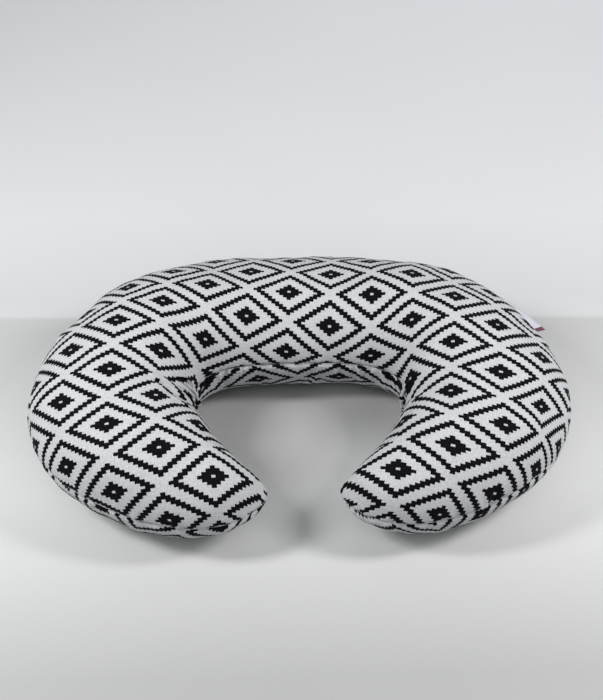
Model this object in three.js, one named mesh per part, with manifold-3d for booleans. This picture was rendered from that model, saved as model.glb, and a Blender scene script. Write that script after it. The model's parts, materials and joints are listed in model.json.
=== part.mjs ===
// Nursing pillow: a C-shaped fibre-filled inner pillow in a zipped, printed slip cover.
// Millimetres, +Z up, lying flat on its underside. Origin: on the resting plane, under the
// centre of the bounding box. +X across the width, +Y towards the closed back of the C.
import * as THREE from 'three';
import { mergeVertices } from 'three/addons/utils/BufferGeometryUtils.js';
import Module from 'manifold-3d';

const wasm = await Module();
wasm.setup();

// ---------------------------------------------------------------- driving dimensions
// Centre line of the C, measured from the left tip to the middle of the back. Each station
// is one STATION_STEP further along: [x, y, outward half width, inward half width,
// crown height over the seam, outer seam height, inner seam height].
const CENTRE_LENGTH = 899.6;          // tip to tip along the centre line
const STATIONS = [
  [-35.4, -153.6, 61.9, 46.3, 65.7, 46.6, 62.1],
  [-63.4, -154.7, 61.4, 49.2, 60.6, 50.2, 62.7],
  [-90.9, -148.9, 61.3, 52.7, 57.0, 53.5, 63.1],
  [-116.8, -138.0, 61.4, 56.8, 56.0, 56.3, 63.6],
  [-140.4, -122.9, 67.5, 62.8, 57.0, 59.2, 63.9],
  [-161.0, -103.8, 78.4, 70.0, 59.0, 61.9, 64.2],
  [-176.7, -80.6, 89.2, 76.2, 61.5, 64.1, 64.5],
  [-184.8, -53.8, 94.8, 79.1, 64.1, 65.0, 64.8],
  [-182.8, -25.9, 94.3, 77.6, 67.1, 64.6, 65.4],
  [-172.8, 0.2, 93.0, 73.5, 70.8, 63.4, 66.1],
  [-156.8, 23.3, 93.0, 69.6, 73.7, 62.1, 66.8],
  [-135.9, 42.0, 96.6, 68.2, 74.0, 58.5, 67.3],
  [-111.0, 55.0, 91.9, 67.6, 72.4, 58.5, 67.9],
  [-84.0, 62.6, 90.9, 67.2, 69.9, 58.5, 68.4],
  [-56.2, 66.4, 92.3, 66.8, 67.1, 58.5, 68.9],
  [-28.1, 67.7, 93.9, 66.6, 64.9, 58.5, 69.2],
  [0.0, 67.9, 94.6, 66.5, 64.0, 58.5, 69.3],
];
const STATION_STEP = CENTRE_LENGTH / 2 / (STATIONS.length - 1);
const Y_SHIFT = 16.3;               // moves the outline so that it is centred on the origin
const CAP_LENGTH = 104.5;           // length over which each arm rounds off to its tip
const CAP_POWER = 1.5435;
const SECTION_POWER = 2.006;        // 2 is an ellipse
const UNDER_FULLNESS = 1.06;        // over 1: the underside is flattened by the resting plane
const ROWS = 40;                    // steps along the C
// section angles across each panel, from the inner seam (-90) to the outer seam (90)
const SECTION_ANGLES = [-90, -74, -54, -32, -10, 12, 34, 55, 72, 82, 90];

const COVER_THICKNESS = 1.5;        // knitted cotton cover with its seam allowance
const SEAM_GAP = 0.3;               // between the panels that a seam joins
const CASING_INSET = 5.0;           // inner pillow casing, below the cover's outer face
const CASING_THICKNESS = 1.2;
const FILLING_INSET = 6.8;
const CASING_ROWS = 30;
const CASING_ANGLES = [-90, -62, -30, 0, 30, 62, 90];

const ZIP_RADIUS = 487.4;           // the back seam is a circular arc in plan
const ZIP_CENTRE_Y = -324.9 + Y_SHIFT;
const ZIP_SEAM_Z = 58.5;
const ZIP_HALF_ARC = 148.0;         // half length of the row of teeth
const ZIP_WINDOW_HALF_ARC = 158.0;
const ZIP_WINDOW_HALF_HEIGHT = 4.8; // the cover's edges stand clear of the slider
const ZIP_STEPS = 32;
const TAPE_HALF_ARC = 160.0;
const TEETH_LOW = 0.9, TEETH_HIGH = 3.0;
const TEETH_OUT = -1.2, TEETH_IN = -2.7;      // radial, from the outer seam circle
const TAPE_EDGE = 12.0;
const TAPE_TILT = 1.5;
const TAPE_OUT = -2.8, TAPE_THICKNESS = 0.6;
const STOP_LENGTH = 3.0;
const SLIDER_REST_ARC = 142.2;      // closed end, towards +X
const SLIDER_LENGTH = 11.0, SLIDER_WIDTH = 8.4;
const PULL_LENGTH = 21.0, PULL_WIDTH = 7.0, PULL_PIVOT_R = 1.2;

const LABEL_FROM = 606.0, LABEL_TO = 649.0;   // along the centre line, rear right
const LABEL_REACH = 28.0;
const LABEL_ROOT = 3.6;
const LABEL_HALF_THICKNESS = 0.4;
const LABEL_SEAM_HALF_GAP = 0.75;

const WASH_LABEL = { near: 345.0, angles: [82, 72, 55], inset: 2.6, thickness: 0.4 };

// ---------------------------------------------------------------- the pillow's shape
const smooth = (a, b, x) => {
  const t = Math.min(1, Math.max(0, (x - a) / (b - a)));
  return t * t * (3 - 2 * t);
};
const last = STATIONS.length - 1;
function stationValue(k, col) {
  // mirrored past the middle of the back: x changes sign, the rest doesn't
  if (k > last) return col === 0 ? -STATIONS[2 * last - k][0] : STATIONS[2 * last - k][col];
  return STATIONS[k][col];
}
function slope(k, col) {
  if (k === 0) return -1.5 * STATIONS[0][col] + 2 * STATIONS[1][col] - 0.5 * STATIONS[2][col];
  return (stationValue(k + 1, col) - stationValue(k - 1, col)) / 2;
}
function at(d, col) {
  const u = Math.min(last - 1e-9, Math.max(0, d / STATION_STEP));
  const k = Math.floor(u), t = u - k;
  const a = stationValue(k, col), b = stationValue(k + 1, col), ma = slope(k, col), mb = slope(k + 1, col);
  const t2 = t * t, t3 = t2 * t;
  return {
    v: (2 * t3 - 3 * t2 + 1) * a + (t3 - 2 * t2 + t) * ma + (-2 * t3 + 3 * t2) * b + (t3 - t2) * mb,
    dv: ((6 * t2 - 6 * t) * a + (3 * t2 - 4 * t + 1) * ma + (-6 * t2 + 6 * t) * b + (3 * t2 - 2 * t) * mb) / STATION_STEP,
  };
}
function section(s) {
  const right = s > CENTRE_LENGTH / 2;
  const d = right ? CENTRE_LENGTH - s : s;
  const x = at(d, 0), y = at(d, 1);
  let tx = x.dv, ty = y.dv;
  const l = Math.hypot(tx, ty);
  tx /= l; ty /= l;
  const sx = right ? -1 : 1;
  return { d, x: sx * x.v, y: y.v + Y_SHIFT, nx: sx * -ty, ny: tx,
    wo: at(d, 2).v, wi: at(d, 3).v, ht: at(d, 4).v, zo: at(d, 5).v, zi: at(d, 6).v };
}
// half height of the opening that the outer seam leaves between the panels
function seamOpening(s) {
  const arc = Math.abs(s - CENTRE_LENGTH / 2);
  // the zip's half window, measured along the centre line instead of the outer seam
  const zip = 1 - smooth(ZIP_CENTRE_WINDOW - 5, ZIP_CENTRE_WINDOW, arc);
  const label = smooth(LABEL_FROM - 4, LABEL_FROM - 1, s) * (1 - smooth(LABEL_TO + 1, LABEL_TO + 4, s));
  return SEAM_GAP / 2 + (ZIP_WINDOW_HALF_HEIGHT - SEAM_GAP / 2) * zip + (LABEL_SEAM_HALF_GAP - SEAM_GAP / 2) * label;
}
function zipDent(s, n) {
  const arc = Math.abs(s - CENTRE_LENGTH / 2);
  return 2.4 * (1 - smooth(ZIP_CENTRE_WINDOW + 4, ZIP_CENTRE_WINDOW + 24, arc)) * smooth(0.55, 0.85, n);
}
// centre-line distance whose outer seam point is at the given arc on the zip circle
function centreLineAtArc(arc) {
  let lo = CENTRE_LENGTH / 2, hi = CENTRE_LENGTH / 2 + 200;
  const target = ZIP_RADIUS * Math.sin(arc / ZIP_RADIUS);
  for (let i = 0; i < 50; i++) {
    const m = (lo + hi) / 2, c = section(m);
    if (c.x + c.nx * c.wo < target) lo = m; else hi = m;
  }
  return (lo + hi) / 2 - CENTRE_LENGTH / 2;
}
const ZIP_CENTRE_WINDOW = centreLineAtArc(ZIP_WINDOW_HALF_ARC);

// point of the pillow's skin: s along the C, n from -1 (inner seam) to 1 (outer seam),
// inset below the outer face, on the upper or lower half
function skin(s, n, inset, upper, gapOn = true, dent = false) {
  const c = section(s);
  const extra = dent ? zipDent(s, n) : 0;
  const q = Math.min(1, Math.max(0, (c.d - inset) / (CAP_LENGTH - inset)));
  const cap = Math.pow(Math.max(0, 1 - Math.pow(1 - q, CAP_POWER)), 1 / CAP_POWER);
  const w = n > 0 ? (c.wo - inset - extra) * cap * n : (c.wi - inset) * cap * n;
  const zs = (c.zi + c.zo) / 2 + (c.zo - c.zi) / 2 * n * cap;
  const prof = Math.pow(Math.max(0, 1 - Math.pow(Math.abs(n), SECTION_POWER)), 1 / SECTION_POWER);
  let g = 0;
  if (gapOn) g = SEAM_GAP / 2 + (seamOpening(s) - SEAM_GAP / 2) * smooth(0.5, 1, n);
  else if (dent) g = SEAM_GAP / 2;
  let z;
  if (upper) z = zs + g + Math.max(0, (c.ht - inset) * cap - g) * prof;
  else z = Math.max(inset, zs - g - Math.max(0, (zs * UNDER_FULLNESS - inset) * cap - g) * prof);
  return [c.x + c.nx * w, c.y + c.ny * w, z];
}
// Stations crowd towards the tips, where the outline turns fastest. Extra ones stand where
// the seam opens for the zip and the label.
function stationList(rows, extra) {
  const list = [];
  for (let i = 1; i < rows; i++) {
    const a = i / rows;
    const s = CENTRE_LENGTH * (0.5 * (0.5 - 0.5 * Math.cos(Math.PI * a)) + 0.5 * a);
    if (extra.every((x) => Math.abs(x - s) > 5)) list.push(s);
  }
  return [null, ...list.concat(extra).sort((p, q) => p - q), null];
}
const HALF = CENTRE_LENGTH / 2;
const COVER_STATIONS = stationList(ROWS, [
  HALF - ZIP_CENTRE_WINDOW, HALF - ZIP_CENTRE_WINDOW + 5, HALF + ZIP_CENTRE_WINDOW - 5, HALF + ZIP_CENTRE_WINDOW,
  LABEL_FROM - 4, LABEL_FROM - 1, LABEL_TO + 1, LABEL_TO + 4]);
const CASING_STATIONS = stationList(CASING_ROWS, []);
// the two tips are single points, pulled in by the inset
const stationAt = (i, stations, inset) => (i === 0 ? inset : i === stations.length - 1 ? CENTRE_LENGTH - inset : stations[i]);
const across = (j, angles) => Math.sin(angles[j] * Math.PI / 180);

function solid(points, faces) {
  const geometry = new THREE.BufferGeometry();
  geometry.setAttribute('position', new THREE.Float32BufferAttribute(points.flat(), 3));
  let volume = 0;
  for (const [a, b, c] of faces) {
    const A = points[a], B = points[b], C = points[c];
    volume += A[0] * (B[1] * C[2] - B[2] * C[1]) - A[1] * (B[0] * C[2] - B[2] * C[0]) + A[2] * (B[0] * C[1] - B[1] * C[0]);
  }
  const out = volume < 0 ? faces.map(([a, b, c]) => [a, c, b]) : faces;
  geometry.setIndex(out.flat());
  geometry.computeVertexNormals();
  return geometry;
}
// one panel of a cover or casing: a bowl-shaped shell from tip to tip
function panelShell(upper, outInset, inInset, stations, angles, gapOn, dent) {
  const points = [], faces = [], rows = stations.length - 1, cols = angles.length - 1;
  const layer = (inset) => {
    const grid = [];
    for (let i = 0; i <= rows; i++) {
      const s = stationAt(i, stations, inset);
      if (i === 0 || i === rows) {
        points.push(skin(s, 0, inset, upper, gapOn, dent));
        grid.push(new Array(cols + 1).fill(points.length - 1));
      } else {
        const row = [];
        for (let j = 0; j <= cols; j++) {
          points.push(skin(s, across(j, angles), inset, upper, gapOn, dent));
          row.push(points.length - 1);
        }
        grid.push(row);
      }
    }
    return grid;
  };
  const A = layer(outInset), B = layer(inInset);
  const tri = (a, b, c) => { if (a !== b && b !== c && a !== c) faces.push([a, b, c]); };
  for (let i = 0; i < rows; i++) for (let j = 0; j < cols; j++) {
    tri(A[i][j], A[i + 1][j], A[i + 1][j + 1]);
    tri(A[i][j], A[i + 1][j + 1], A[i][j + 1]);
    tri(B[i][j], B[i + 1][j + 1], B[i + 1][j]);
    tri(B[i][j], B[i][j + 1], B[i + 1][j + 1]);
  }
  for (let i = 0; i < rows; i++) {
    tri(A[i][0], B[i][0], B[i + 1][0]);
    tri(A[i][0], B[i + 1][0], A[i + 1][0]);
    tri(A[i][cols], B[i + 1][cols], B[i][cols]);
    tri(A[i][cols], A[i + 1][cols], B[i + 1][cols]);
  }
  return solid(points, faces);
}
// the filling: one closed body
function filling(inset, stations, angles) {
  const points = [], faces = [], grid = [], rows = stations.length - 1, cols = angles.length - 1;
  for (let i = 0; i <= rows; i++) {
    const s = stationAt(i, stations, inset), row = [];
    if (i === 0 || i === rows) {
      points.push(skin(s, 0, inset, true, false, true));
      grid.push(new Array(2 * cols).fill(points.length - 1));
      continue;
    }
    for (let j = 0; j < 2 * cols; j++) {
      const upper = j <= cols, n = upper ? across(j, angles) : across(2 * cols - j, angles);
      const p = skin(s, n, inset, upper, false, true);
      points.push(p);
      row.push(points.length - 1);
    }
    grid.push(row);
  }
  const m = 2 * cols;
  const tri = (a, b, c) => { if (a !== b && b !== c && a !== c) faces.push([a, b, c]); };
  for (let i = 0; i < rows; i++) for (let j = 0; j < m; j++) {
    const k = (j + 1) % m;
    if (j < cols) {
      tri(grid[i][j], grid[i + 1][j], grid[i + 1][k]);
      tri(grid[i][j], grid[i + 1][k], grid[i][k]);
    } else {
      // the lower half takes the other diagonal, as the lower panels do
      tri(grid[i][j], grid[i + 1][j], grid[i][k]);
      tri(grid[i][k], grid[i + 1][j], grid[i + 1][k]);
    }
  }
  return solid(points, faces);
}
// a curved slab between two point functions over a rows x cols grid
function slab(rows, cols, outer, inner) {
  const points = [], faces = [];
  const id = (layer, i, j) => layer * (rows + 1) * (cols + 1) + i * (cols + 1) + j;
  for (const f of [outer, inner]) for (let i = 0; i <= rows; i++) for (let j = 0; j <= cols; j++) points.push(f(i / rows, j / cols));
  const quad = (a, b, c, d) => { faces.push([a, b, c], [a, c, d]); };
  for (let i = 0; i < rows; i++) for (let j = 0; j < cols; j++) {
    quad(id(0, i, j), id(0, i + 1, j), id(0, i + 1, j + 1), id(0, i, j + 1));
    quad(id(1, i, j), id(1, i, j + 1), id(1, i + 1, j + 1), id(1, i + 1, j));
  }
  for (let i = 0; i < rows; i++) {
    quad(id(0, i, 0), id(1, i, 0), id(1, i + 1, 0), id(0, i + 1, 0));
    quad(id(0, i, cols), id(0, i + 1, cols), id(1, i + 1, cols), id(1, i, cols));
  }
  for (let j = 0; j < cols; j++) {
    quad(id(0, 0, j), id(0, 0, j + 1), id(1, 0, j + 1), id(1, 0, j));
    quad(id(0, rows, j), id(1, rows, j), id(1, rows, j + 1), id(0, rows, j + 1));
  }
  return solid(points, faces);
}
// ---------------------------------------------------------------- the zip
// a point by arc length along the zip (towards -X), radial offset and height over the seam
function onZip(arc, r, h) {
  const a = Math.PI / 2 + arc / ZIP_RADIUS, R = ZIP_RADIUS + r;
  return [R * Math.cos(a), ZIP_CENTRE_Y + R * Math.sin(a), ZIP_SEAM_Z + h];
}
function zipBand(arc0, arc1, steps, side, lowH, highH, out, inn, tilt = 0) {
  const point = (r) => (u, v) => onZip(arc0 + (arc1 - arc0) * u, r - tilt * v, side * (lowH + (highH - lowH) * v));
  return slab(steps, 1, point(out), point(inn));
}

// ---------------------------------------------------------------- the slider, by booleans
const toManifold = (geometry) => {
  const g = geometry.index ? geometry.clone() : geometry.clone();
  for (const name of Object.keys(g.attributes)) if (name !== 'position') g.deleteAttribute(name);
  const merged = mergeVertices(g, 1e-5);
  return new wasm.Manifold(new wasm.Mesh({
    numProp: 3,
    vertProperties: new Float32Array(merged.attributes.position.array),
    triVerts: new Uint32Array(merged.index.array),
  }));
};
const fromManifold = (m) => {
  const mesh = m.getMesh();
  const g = new THREE.BufferGeometry();
  const p = new Float32Array(mesh.numVert * 3);
  for (let i = 0; i < mesh.numVert; i++) for (let k = 0; k < 3; k++) p[3 * i + k] = mesh.vertProperties[i * mesh.numProp + k];
  g.setAttribute('position', new THREE.BufferAttribute(p, 3));
  g.setIndex(new THREE.BufferAttribute(new Uint32Array(mesh.triVerts), 1));
  g.computeVertexNormals();
  return g;
};
// local axes: x along the zip towards -X of the pillow, y outward, z up
const block = (x0, x1, y0, y1, z0, z1) => toManifold(new THREE.BoxGeometry(x1 - x0, y1 - y0, z1 - z0).translate((x0 + x1) / 2, (y0 + y1) / 2, (z0 + z1) / 2));
// a rounded plate in the x-z plane, from y0 to y1
function plate(x0, x1, z0, z1, y0, y1, radius) {
  const sh = new THREE.Shape();
  const r = radius;
  sh.moveTo(x0 + r, z0);
  sh.lineTo(x1 - r, z0); sh.absarc(x1 - r, z0 + r, r, -Math.PI / 2, 0, false);
  sh.lineTo(x1, z1 - r); sh.absarc(x1 - r, z1 - r, r, 0, Math.PI / 2, false);
  sh.lineTo(x0 + r, z1); sh.absarc(x0 + r, z1 - r, r, Math.PI / 2, Math.PI, false);
  sh.lineTo(x0, z0 + r); sh.absarc(x0 + r, z0 + r, r, Math.PI, Math.PI * 1.5, false);
  const g = new THREE.ExtrudeGeometry(sh, { depth: y1 - y0, bevelEnabled: false, curveSegments: 4 });
  // extruded along z: turn the plate so that its thickness runs along y
  g.rotateX(Math.PI / 2).translate(0, y1, 0);
  return toManifold(g);
}
function sliderBody() {
  const l = SLIDER_LENGTH / 2, w = SLIDER_WIDTH / 2;
  let body = plate(-l, l, -w, w, -0.9, 0.2, 1.6);
  body = body.add(plate(-l, l, -w, w, -5.3, -4.3, 1.6));
  body = body.add(block(-l, -l + 2.4, -5.0, 0.0, -0.5, 0.5));
  for (const side of [-1, 1]) body = body.add(block(-l + 1.7, l - 1.7, -2.2, -0.8, side > 0 ? w - 0.6 : -w, side > 0 ? w : -w + 0.6));
  let bail = plate(-3.2, 3.2, -0.9, 0.9, 0.1, 2.9, 0.5);
  bail = bail.subtract(block(-2.2, 2.2, 0.3, 2.1, -2, 2));
  return fromManifold(body.add(bail));
}
function pullTab() {
  const w = PULL_WIDTH / 2, y0 = PULL_PIVOT_R - 0.5, y1 = PULL_PIVOT_R + 0.5;
  let tab = plate(-0.6, PULL_LENGTH, -w, w, y0, y1, 2.2);
  // the square ends of the two ears beside the bail
  tab = tab.add(block(-0.6, 4.5, y0, y1, -w, w));
  tab = tab.subtract(block(-1.5, 5.5, -2, 4, -2.0, 2.0));
  tab = tab.add(toManifold(new THREE.CylinderGeometry(0.55, 0.55, 2 * w - 1.2, 10).rotateX(Math.PI / 2).translate(0, PULL_PIVOT_R, 0)));
  // hanging hole in the free end
  tab = tab.subtract(toManifold(new THREE.CylinderGeometry(1.4, 1.4, 4, 12).translate(PULL_LENGTH - 3.6, PULL_PIVOT_R, 0)));
  return fromManifold(tab);
}

// ---------------------------------------------------------------- materials
const cloth = (color) => new THREE.MeshStandardMaterial({ color, roughness: 0.9, metalness: 0 });
const printed = () => cloth(0xd9dade);
const white = () => cloth(0xe9e9ec);
const nylon = () => new THREE.MeshStandardMaterial({ color: 0xe4e4e6, roughness: 0.5, metalness: 0 });
const metal = () => new THREE.MeshStandardMaterial({ color: 0xc9cace, roughness: 0.3, metalness: 1 });

const pillow = new THREE.Group();
const addTo = (parent, name, geometry, material) => {
  const mesh = new THREE.Mesh(geometry, material);
  mesh.name = name;
  parent.add(mesh);
  return mesh;
};

// cover: two printed panels joined by the seam that runs round the C at mid height
addTo(pillow, 'cover_top_panel', panelShell(true, 0, COVER_THICKNESS, COVER_STATIONS, SECTION_ANGLES, true, false), printed());
addTo(pillow, 'cover_bottom_panel', panelShell(false, 0, COVER_THICKNESS, COVER_STATIONS, SECTION_ANGLES, true, false), printed());
// inner pillow: casing panels and filling
addTo(pillow, 'casing_top_panel', panelShell(true, CASING_INSET, CASING_INSET + CASING_THICKNESS, CASING_STATIONS, CASING_ANGLES, false, true), white());
addTo(pillow, 'casing_bottom_panel', panelShell(false, CASING_INSET, CASING_INSET + CASING_THICKNESS, CASING_STATIONS, CASING_ANGLES, false, true), white());
addTo(pillow, 'fibre_filling', filling(FILLING_INSET, CASING_STATIONS, CASING_ANGLES), white());

// zip in the back seam
for (const [tag, side] of [['upper', 1], ['lower', -1]]) {
  addTo(pillow, 'zip_tape_' + tag, zipBand(-TAPE_HALF_ARC, TAPE_HALF_ARC, ZIP_STEPS, side, TEETH_LOW, TAPE_EDGE, TAPE_OUT, TAPE_OUT - TAPE_THICKNESS, TAPE_TILT), white());
  addTo(pillow, 'zip_teeth_' + tag, zipBand(-ZIP_HALF_ARC, ZIP_HALF_ARC, ZIP_STEPS, side, TEETH_LOW, TEETH_HIGH, TEETH_OUT, TEETH_IN), nylon());
  // crimped stop at the closed end of each tape
  addTo(pillow, 'zip_top_stop_' + tag, zipBand(-ZIP_HALF_ARC - 0.4 - STOP_LENGTH, -ZIP_HALF_ARC - 0.4, 1, side, TEETH_LOW, TEETH_HIGH, TEETH_OUT + 0.2, TEETH_IN), metal());
}
// one stop joins both rows at the open end
addTo(pillow, 'zip_bottom_stop', slab(1, 2,
  (u, v) => onZip(ZIP_HALF_ARC + 0.4 + STOP_LENGTH * u, TEETH_OUT + 0.2, -TEETH_HIGH + 2 * TEETH_HIGH * v),
  (u, v) => onZip(ZIP_HALF_ARC + 0.4 + STOP_LENGTH * u, TEETH_IN, -TEETH_HIGH + 2 * TEETH_HIGH * v)), metal());
const sliderFrame = new THREE.Group();
{
  const a = Math.PI / 2 - SLIDER_REST_ARC / ZIP_RADIUS;
  const out = new THREE.Vector3(Math.cos(a), Math.sin(a), 0), up = new THREE.Vector3(0, 0, 1);
  const along = new THREE.Vector3().crossVectors(out, up).negate();   // towards -X
  sliderFrame.applyMatrix4(new THREE.Matrix4().makeBasis(along, out, new THREE.Vector3().crossVectors(along, out)));
  sliderFrame.position.set(ZIP_RADIUS * out.x, ZIP_CENTRE_Y + ZIP_RADIUS * out.y, ZIP_SEAM_Z);
}
pillow.add(sliderFrame);
addTo(sliderFrame, 'zip_slider', sliderBody(), metal());
addTo(sliderFrame, 'zip_pull_tab', pullTab(), metal());

// woven label caught in the outer seam at the rear right
{
  const face = (dz) => (u, v) => {
    const c = section(LABEL_FROM + (LABEL_TO - LABEL_FROM) * u);
    const r = c.wo - LABEL_ROOT + (LABEL_REACH + LABEL_ROOT) * v;
    return [c.x + c.nx * r, c.y + c.ny * r, c.zo + dz];
  };
  addTo(pillow, 'woven_label', slab(4, 3, face(LABEL_HALF_THICKNESS), face(-LABEL_HALF_THICKNESS)), cloth(0xc9c6d6));
}
// blank washing-instruction label inside the cover, under the zip, lying along the cover's facets
{
  const w = WASH_LABEL;
  const k = COVER_STATIONS.findIndex((s) => s > w.near);
  const face = (inset) => (u, v) => skin(COVER_STATIONS[k + Math.round(2 * u)], Math.sin(w.angles[Math.round(2 * v)] * Math.PI / 180), inset, false, true, false);
  addTo(pillow, 'wash_label', slab(2, 2, face(w.inset), face(w.inset + w.thickness)), white());
}

export default pillow;
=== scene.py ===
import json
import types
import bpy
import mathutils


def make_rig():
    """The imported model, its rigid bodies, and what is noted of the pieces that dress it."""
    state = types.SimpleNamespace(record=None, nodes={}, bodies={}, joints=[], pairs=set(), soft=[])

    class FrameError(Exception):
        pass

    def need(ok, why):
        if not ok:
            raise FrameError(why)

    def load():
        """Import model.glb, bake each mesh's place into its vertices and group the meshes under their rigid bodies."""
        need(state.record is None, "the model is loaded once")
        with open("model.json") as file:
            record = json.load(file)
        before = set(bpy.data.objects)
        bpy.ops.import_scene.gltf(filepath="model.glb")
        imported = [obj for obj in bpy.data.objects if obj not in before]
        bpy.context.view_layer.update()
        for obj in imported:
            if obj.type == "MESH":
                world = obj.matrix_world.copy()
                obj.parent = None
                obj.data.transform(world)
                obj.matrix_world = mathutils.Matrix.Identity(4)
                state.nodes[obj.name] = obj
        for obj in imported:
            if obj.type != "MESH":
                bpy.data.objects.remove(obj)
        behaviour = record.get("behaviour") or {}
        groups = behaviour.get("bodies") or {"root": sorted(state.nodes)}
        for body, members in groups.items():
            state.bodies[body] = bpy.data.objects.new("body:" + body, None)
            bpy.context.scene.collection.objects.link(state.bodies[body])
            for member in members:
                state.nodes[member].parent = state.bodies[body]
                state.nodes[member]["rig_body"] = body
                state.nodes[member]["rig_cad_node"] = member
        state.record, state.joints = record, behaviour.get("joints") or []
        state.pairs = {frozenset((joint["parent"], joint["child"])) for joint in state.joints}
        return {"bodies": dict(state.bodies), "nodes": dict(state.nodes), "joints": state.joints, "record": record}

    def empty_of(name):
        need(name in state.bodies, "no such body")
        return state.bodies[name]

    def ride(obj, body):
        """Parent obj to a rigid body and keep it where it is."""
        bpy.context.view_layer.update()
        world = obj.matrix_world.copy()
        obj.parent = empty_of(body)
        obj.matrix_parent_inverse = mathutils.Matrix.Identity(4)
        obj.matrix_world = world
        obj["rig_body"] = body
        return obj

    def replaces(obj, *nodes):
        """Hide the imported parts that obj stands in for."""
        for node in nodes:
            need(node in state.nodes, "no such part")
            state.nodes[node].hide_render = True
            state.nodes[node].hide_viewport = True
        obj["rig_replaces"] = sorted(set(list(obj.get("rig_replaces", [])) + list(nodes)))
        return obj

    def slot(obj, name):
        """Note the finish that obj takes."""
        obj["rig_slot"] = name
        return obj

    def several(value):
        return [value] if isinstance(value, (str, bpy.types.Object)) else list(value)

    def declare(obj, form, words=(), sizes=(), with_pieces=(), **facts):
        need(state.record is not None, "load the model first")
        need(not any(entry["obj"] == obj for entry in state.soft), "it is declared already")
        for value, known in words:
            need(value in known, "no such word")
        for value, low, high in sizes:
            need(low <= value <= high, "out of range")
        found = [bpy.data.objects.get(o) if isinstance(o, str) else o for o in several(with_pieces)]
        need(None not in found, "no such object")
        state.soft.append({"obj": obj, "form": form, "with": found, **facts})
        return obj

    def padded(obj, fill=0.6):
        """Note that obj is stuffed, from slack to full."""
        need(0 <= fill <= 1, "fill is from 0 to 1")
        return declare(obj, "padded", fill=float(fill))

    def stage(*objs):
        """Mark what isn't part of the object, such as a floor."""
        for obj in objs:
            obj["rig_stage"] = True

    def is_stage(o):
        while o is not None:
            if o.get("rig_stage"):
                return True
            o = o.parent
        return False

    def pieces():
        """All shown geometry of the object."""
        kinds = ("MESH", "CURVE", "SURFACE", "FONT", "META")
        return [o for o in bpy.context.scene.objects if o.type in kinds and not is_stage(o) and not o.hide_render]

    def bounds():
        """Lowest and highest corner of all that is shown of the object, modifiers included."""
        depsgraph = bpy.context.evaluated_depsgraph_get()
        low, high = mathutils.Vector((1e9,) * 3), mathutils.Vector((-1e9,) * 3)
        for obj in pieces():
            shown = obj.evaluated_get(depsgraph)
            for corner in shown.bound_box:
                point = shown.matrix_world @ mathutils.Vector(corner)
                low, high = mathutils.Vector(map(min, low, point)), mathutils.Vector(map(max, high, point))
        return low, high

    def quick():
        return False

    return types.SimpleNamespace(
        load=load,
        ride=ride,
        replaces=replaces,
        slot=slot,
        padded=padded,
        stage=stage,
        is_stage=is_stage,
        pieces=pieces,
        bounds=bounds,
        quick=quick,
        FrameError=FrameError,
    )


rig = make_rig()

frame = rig.load()

import json
import math
import bpy
import bmesh
import numpy as np
from mathutils import Matrix, Vector

lo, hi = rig.bounds()
cad_box = [list(lo), list(hi)]
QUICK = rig.quick()
MM = 0.001


# ------------------------------------------------------------------ the pillow's surface, in millimetres
LENGTH = 899.6
HALF = LENGTH / 2
STEP = HALF / 16
Y_SHIFT = 16.3
CAP = 104.5
CAP_POWER = 1.5435
SECTION_POWER = 2.006
UNDER = 1.06
ZIP_R = 487.4
ZIP_CY = -324.9 + Y_SHIFT
ZIP_Z = 58.5
ZIP_HALF = 148.0
WINDOW_ARC = 158.0
WINDOW_H = 4.8
GAP = 0.15
LABEL_FROM, LABEL_TO, LABEL_REACH, LABEL_ROOT = 606.0, 649.0, 28.0, 3.6
ROWS_ = [
    [-35.4, -153.6, 61.9, 46.3, 65.7, 46.6, 62.1], [-63.4, -154.7, 61.4, 49.2, 60.6, 50.2, 62.7],
    [-90.9, -148.9, 61.3, 52.7, 57.0, 53.5, 63.1], [-116.8, -138.0, 61.4, 56.8, 56.0, 56.3, 63.6],
    [-140.4, -122.9, 67.5, 62.8, 57.0, 59.2, 63.9], [-161.0, -103.8, 78.4, 70.0, 59.0, 61.9, 64.2],
    [-176.7, -80.6, 89.2, 76.2, 61.5, 64.1, 64.5], [-184.8, -53.8, 94.8, 79.1, 64.1, 65.0, 64.8],
    [-182.8, -25.9, 94.3, 77.6, 67.1, 64.6, 65.4], [-172.8, 0.2, 93.0, 73.5, 70.8, 63.4, 66.1],
    [-156.8, 23.3, 93.0, 69.6, 73.7, 62.1, 66.8], [-135.9, 42.0, 96.6, 68.2, 74.0, 58.5, 67.3],
    [-111.0, 55.0, 91.9, 67.6, 72.4, 58.5, 67.9], [-84.0, 62.6, 90.9, 67.2, 69.9, 58.5, 68.4],
    [-56.2, 66.4, 92.3, 66.8, 67.1, 58.5, 68.9], [-28.1, 67.7, 93.9, 66.6, 64.9, 58.5, 69.2],
    [0.0, 67.9, 94.6, 66.5, 64.0, 58.5, 69.3]]
ST = np.array(ROWS_, float)
_next = ST[15].copy(); _next[0] *= -1
EXT = np.vstack([ST, _next])
SLOPES = np.zeros((18, 7))
SLOPES[0] = -1.5 * ST[0] + 2 * ST[1] - 0.5 * ST[2]
SLOPES[1:17] = (EXT[2:18] - EXT[0:16]) / 2


def smooth(a, b, x):
    t = np.clip((np.asarray(x, float) - a) / (b - a), 0, 1)
    return t * t * (3 - 2 * t)


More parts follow.
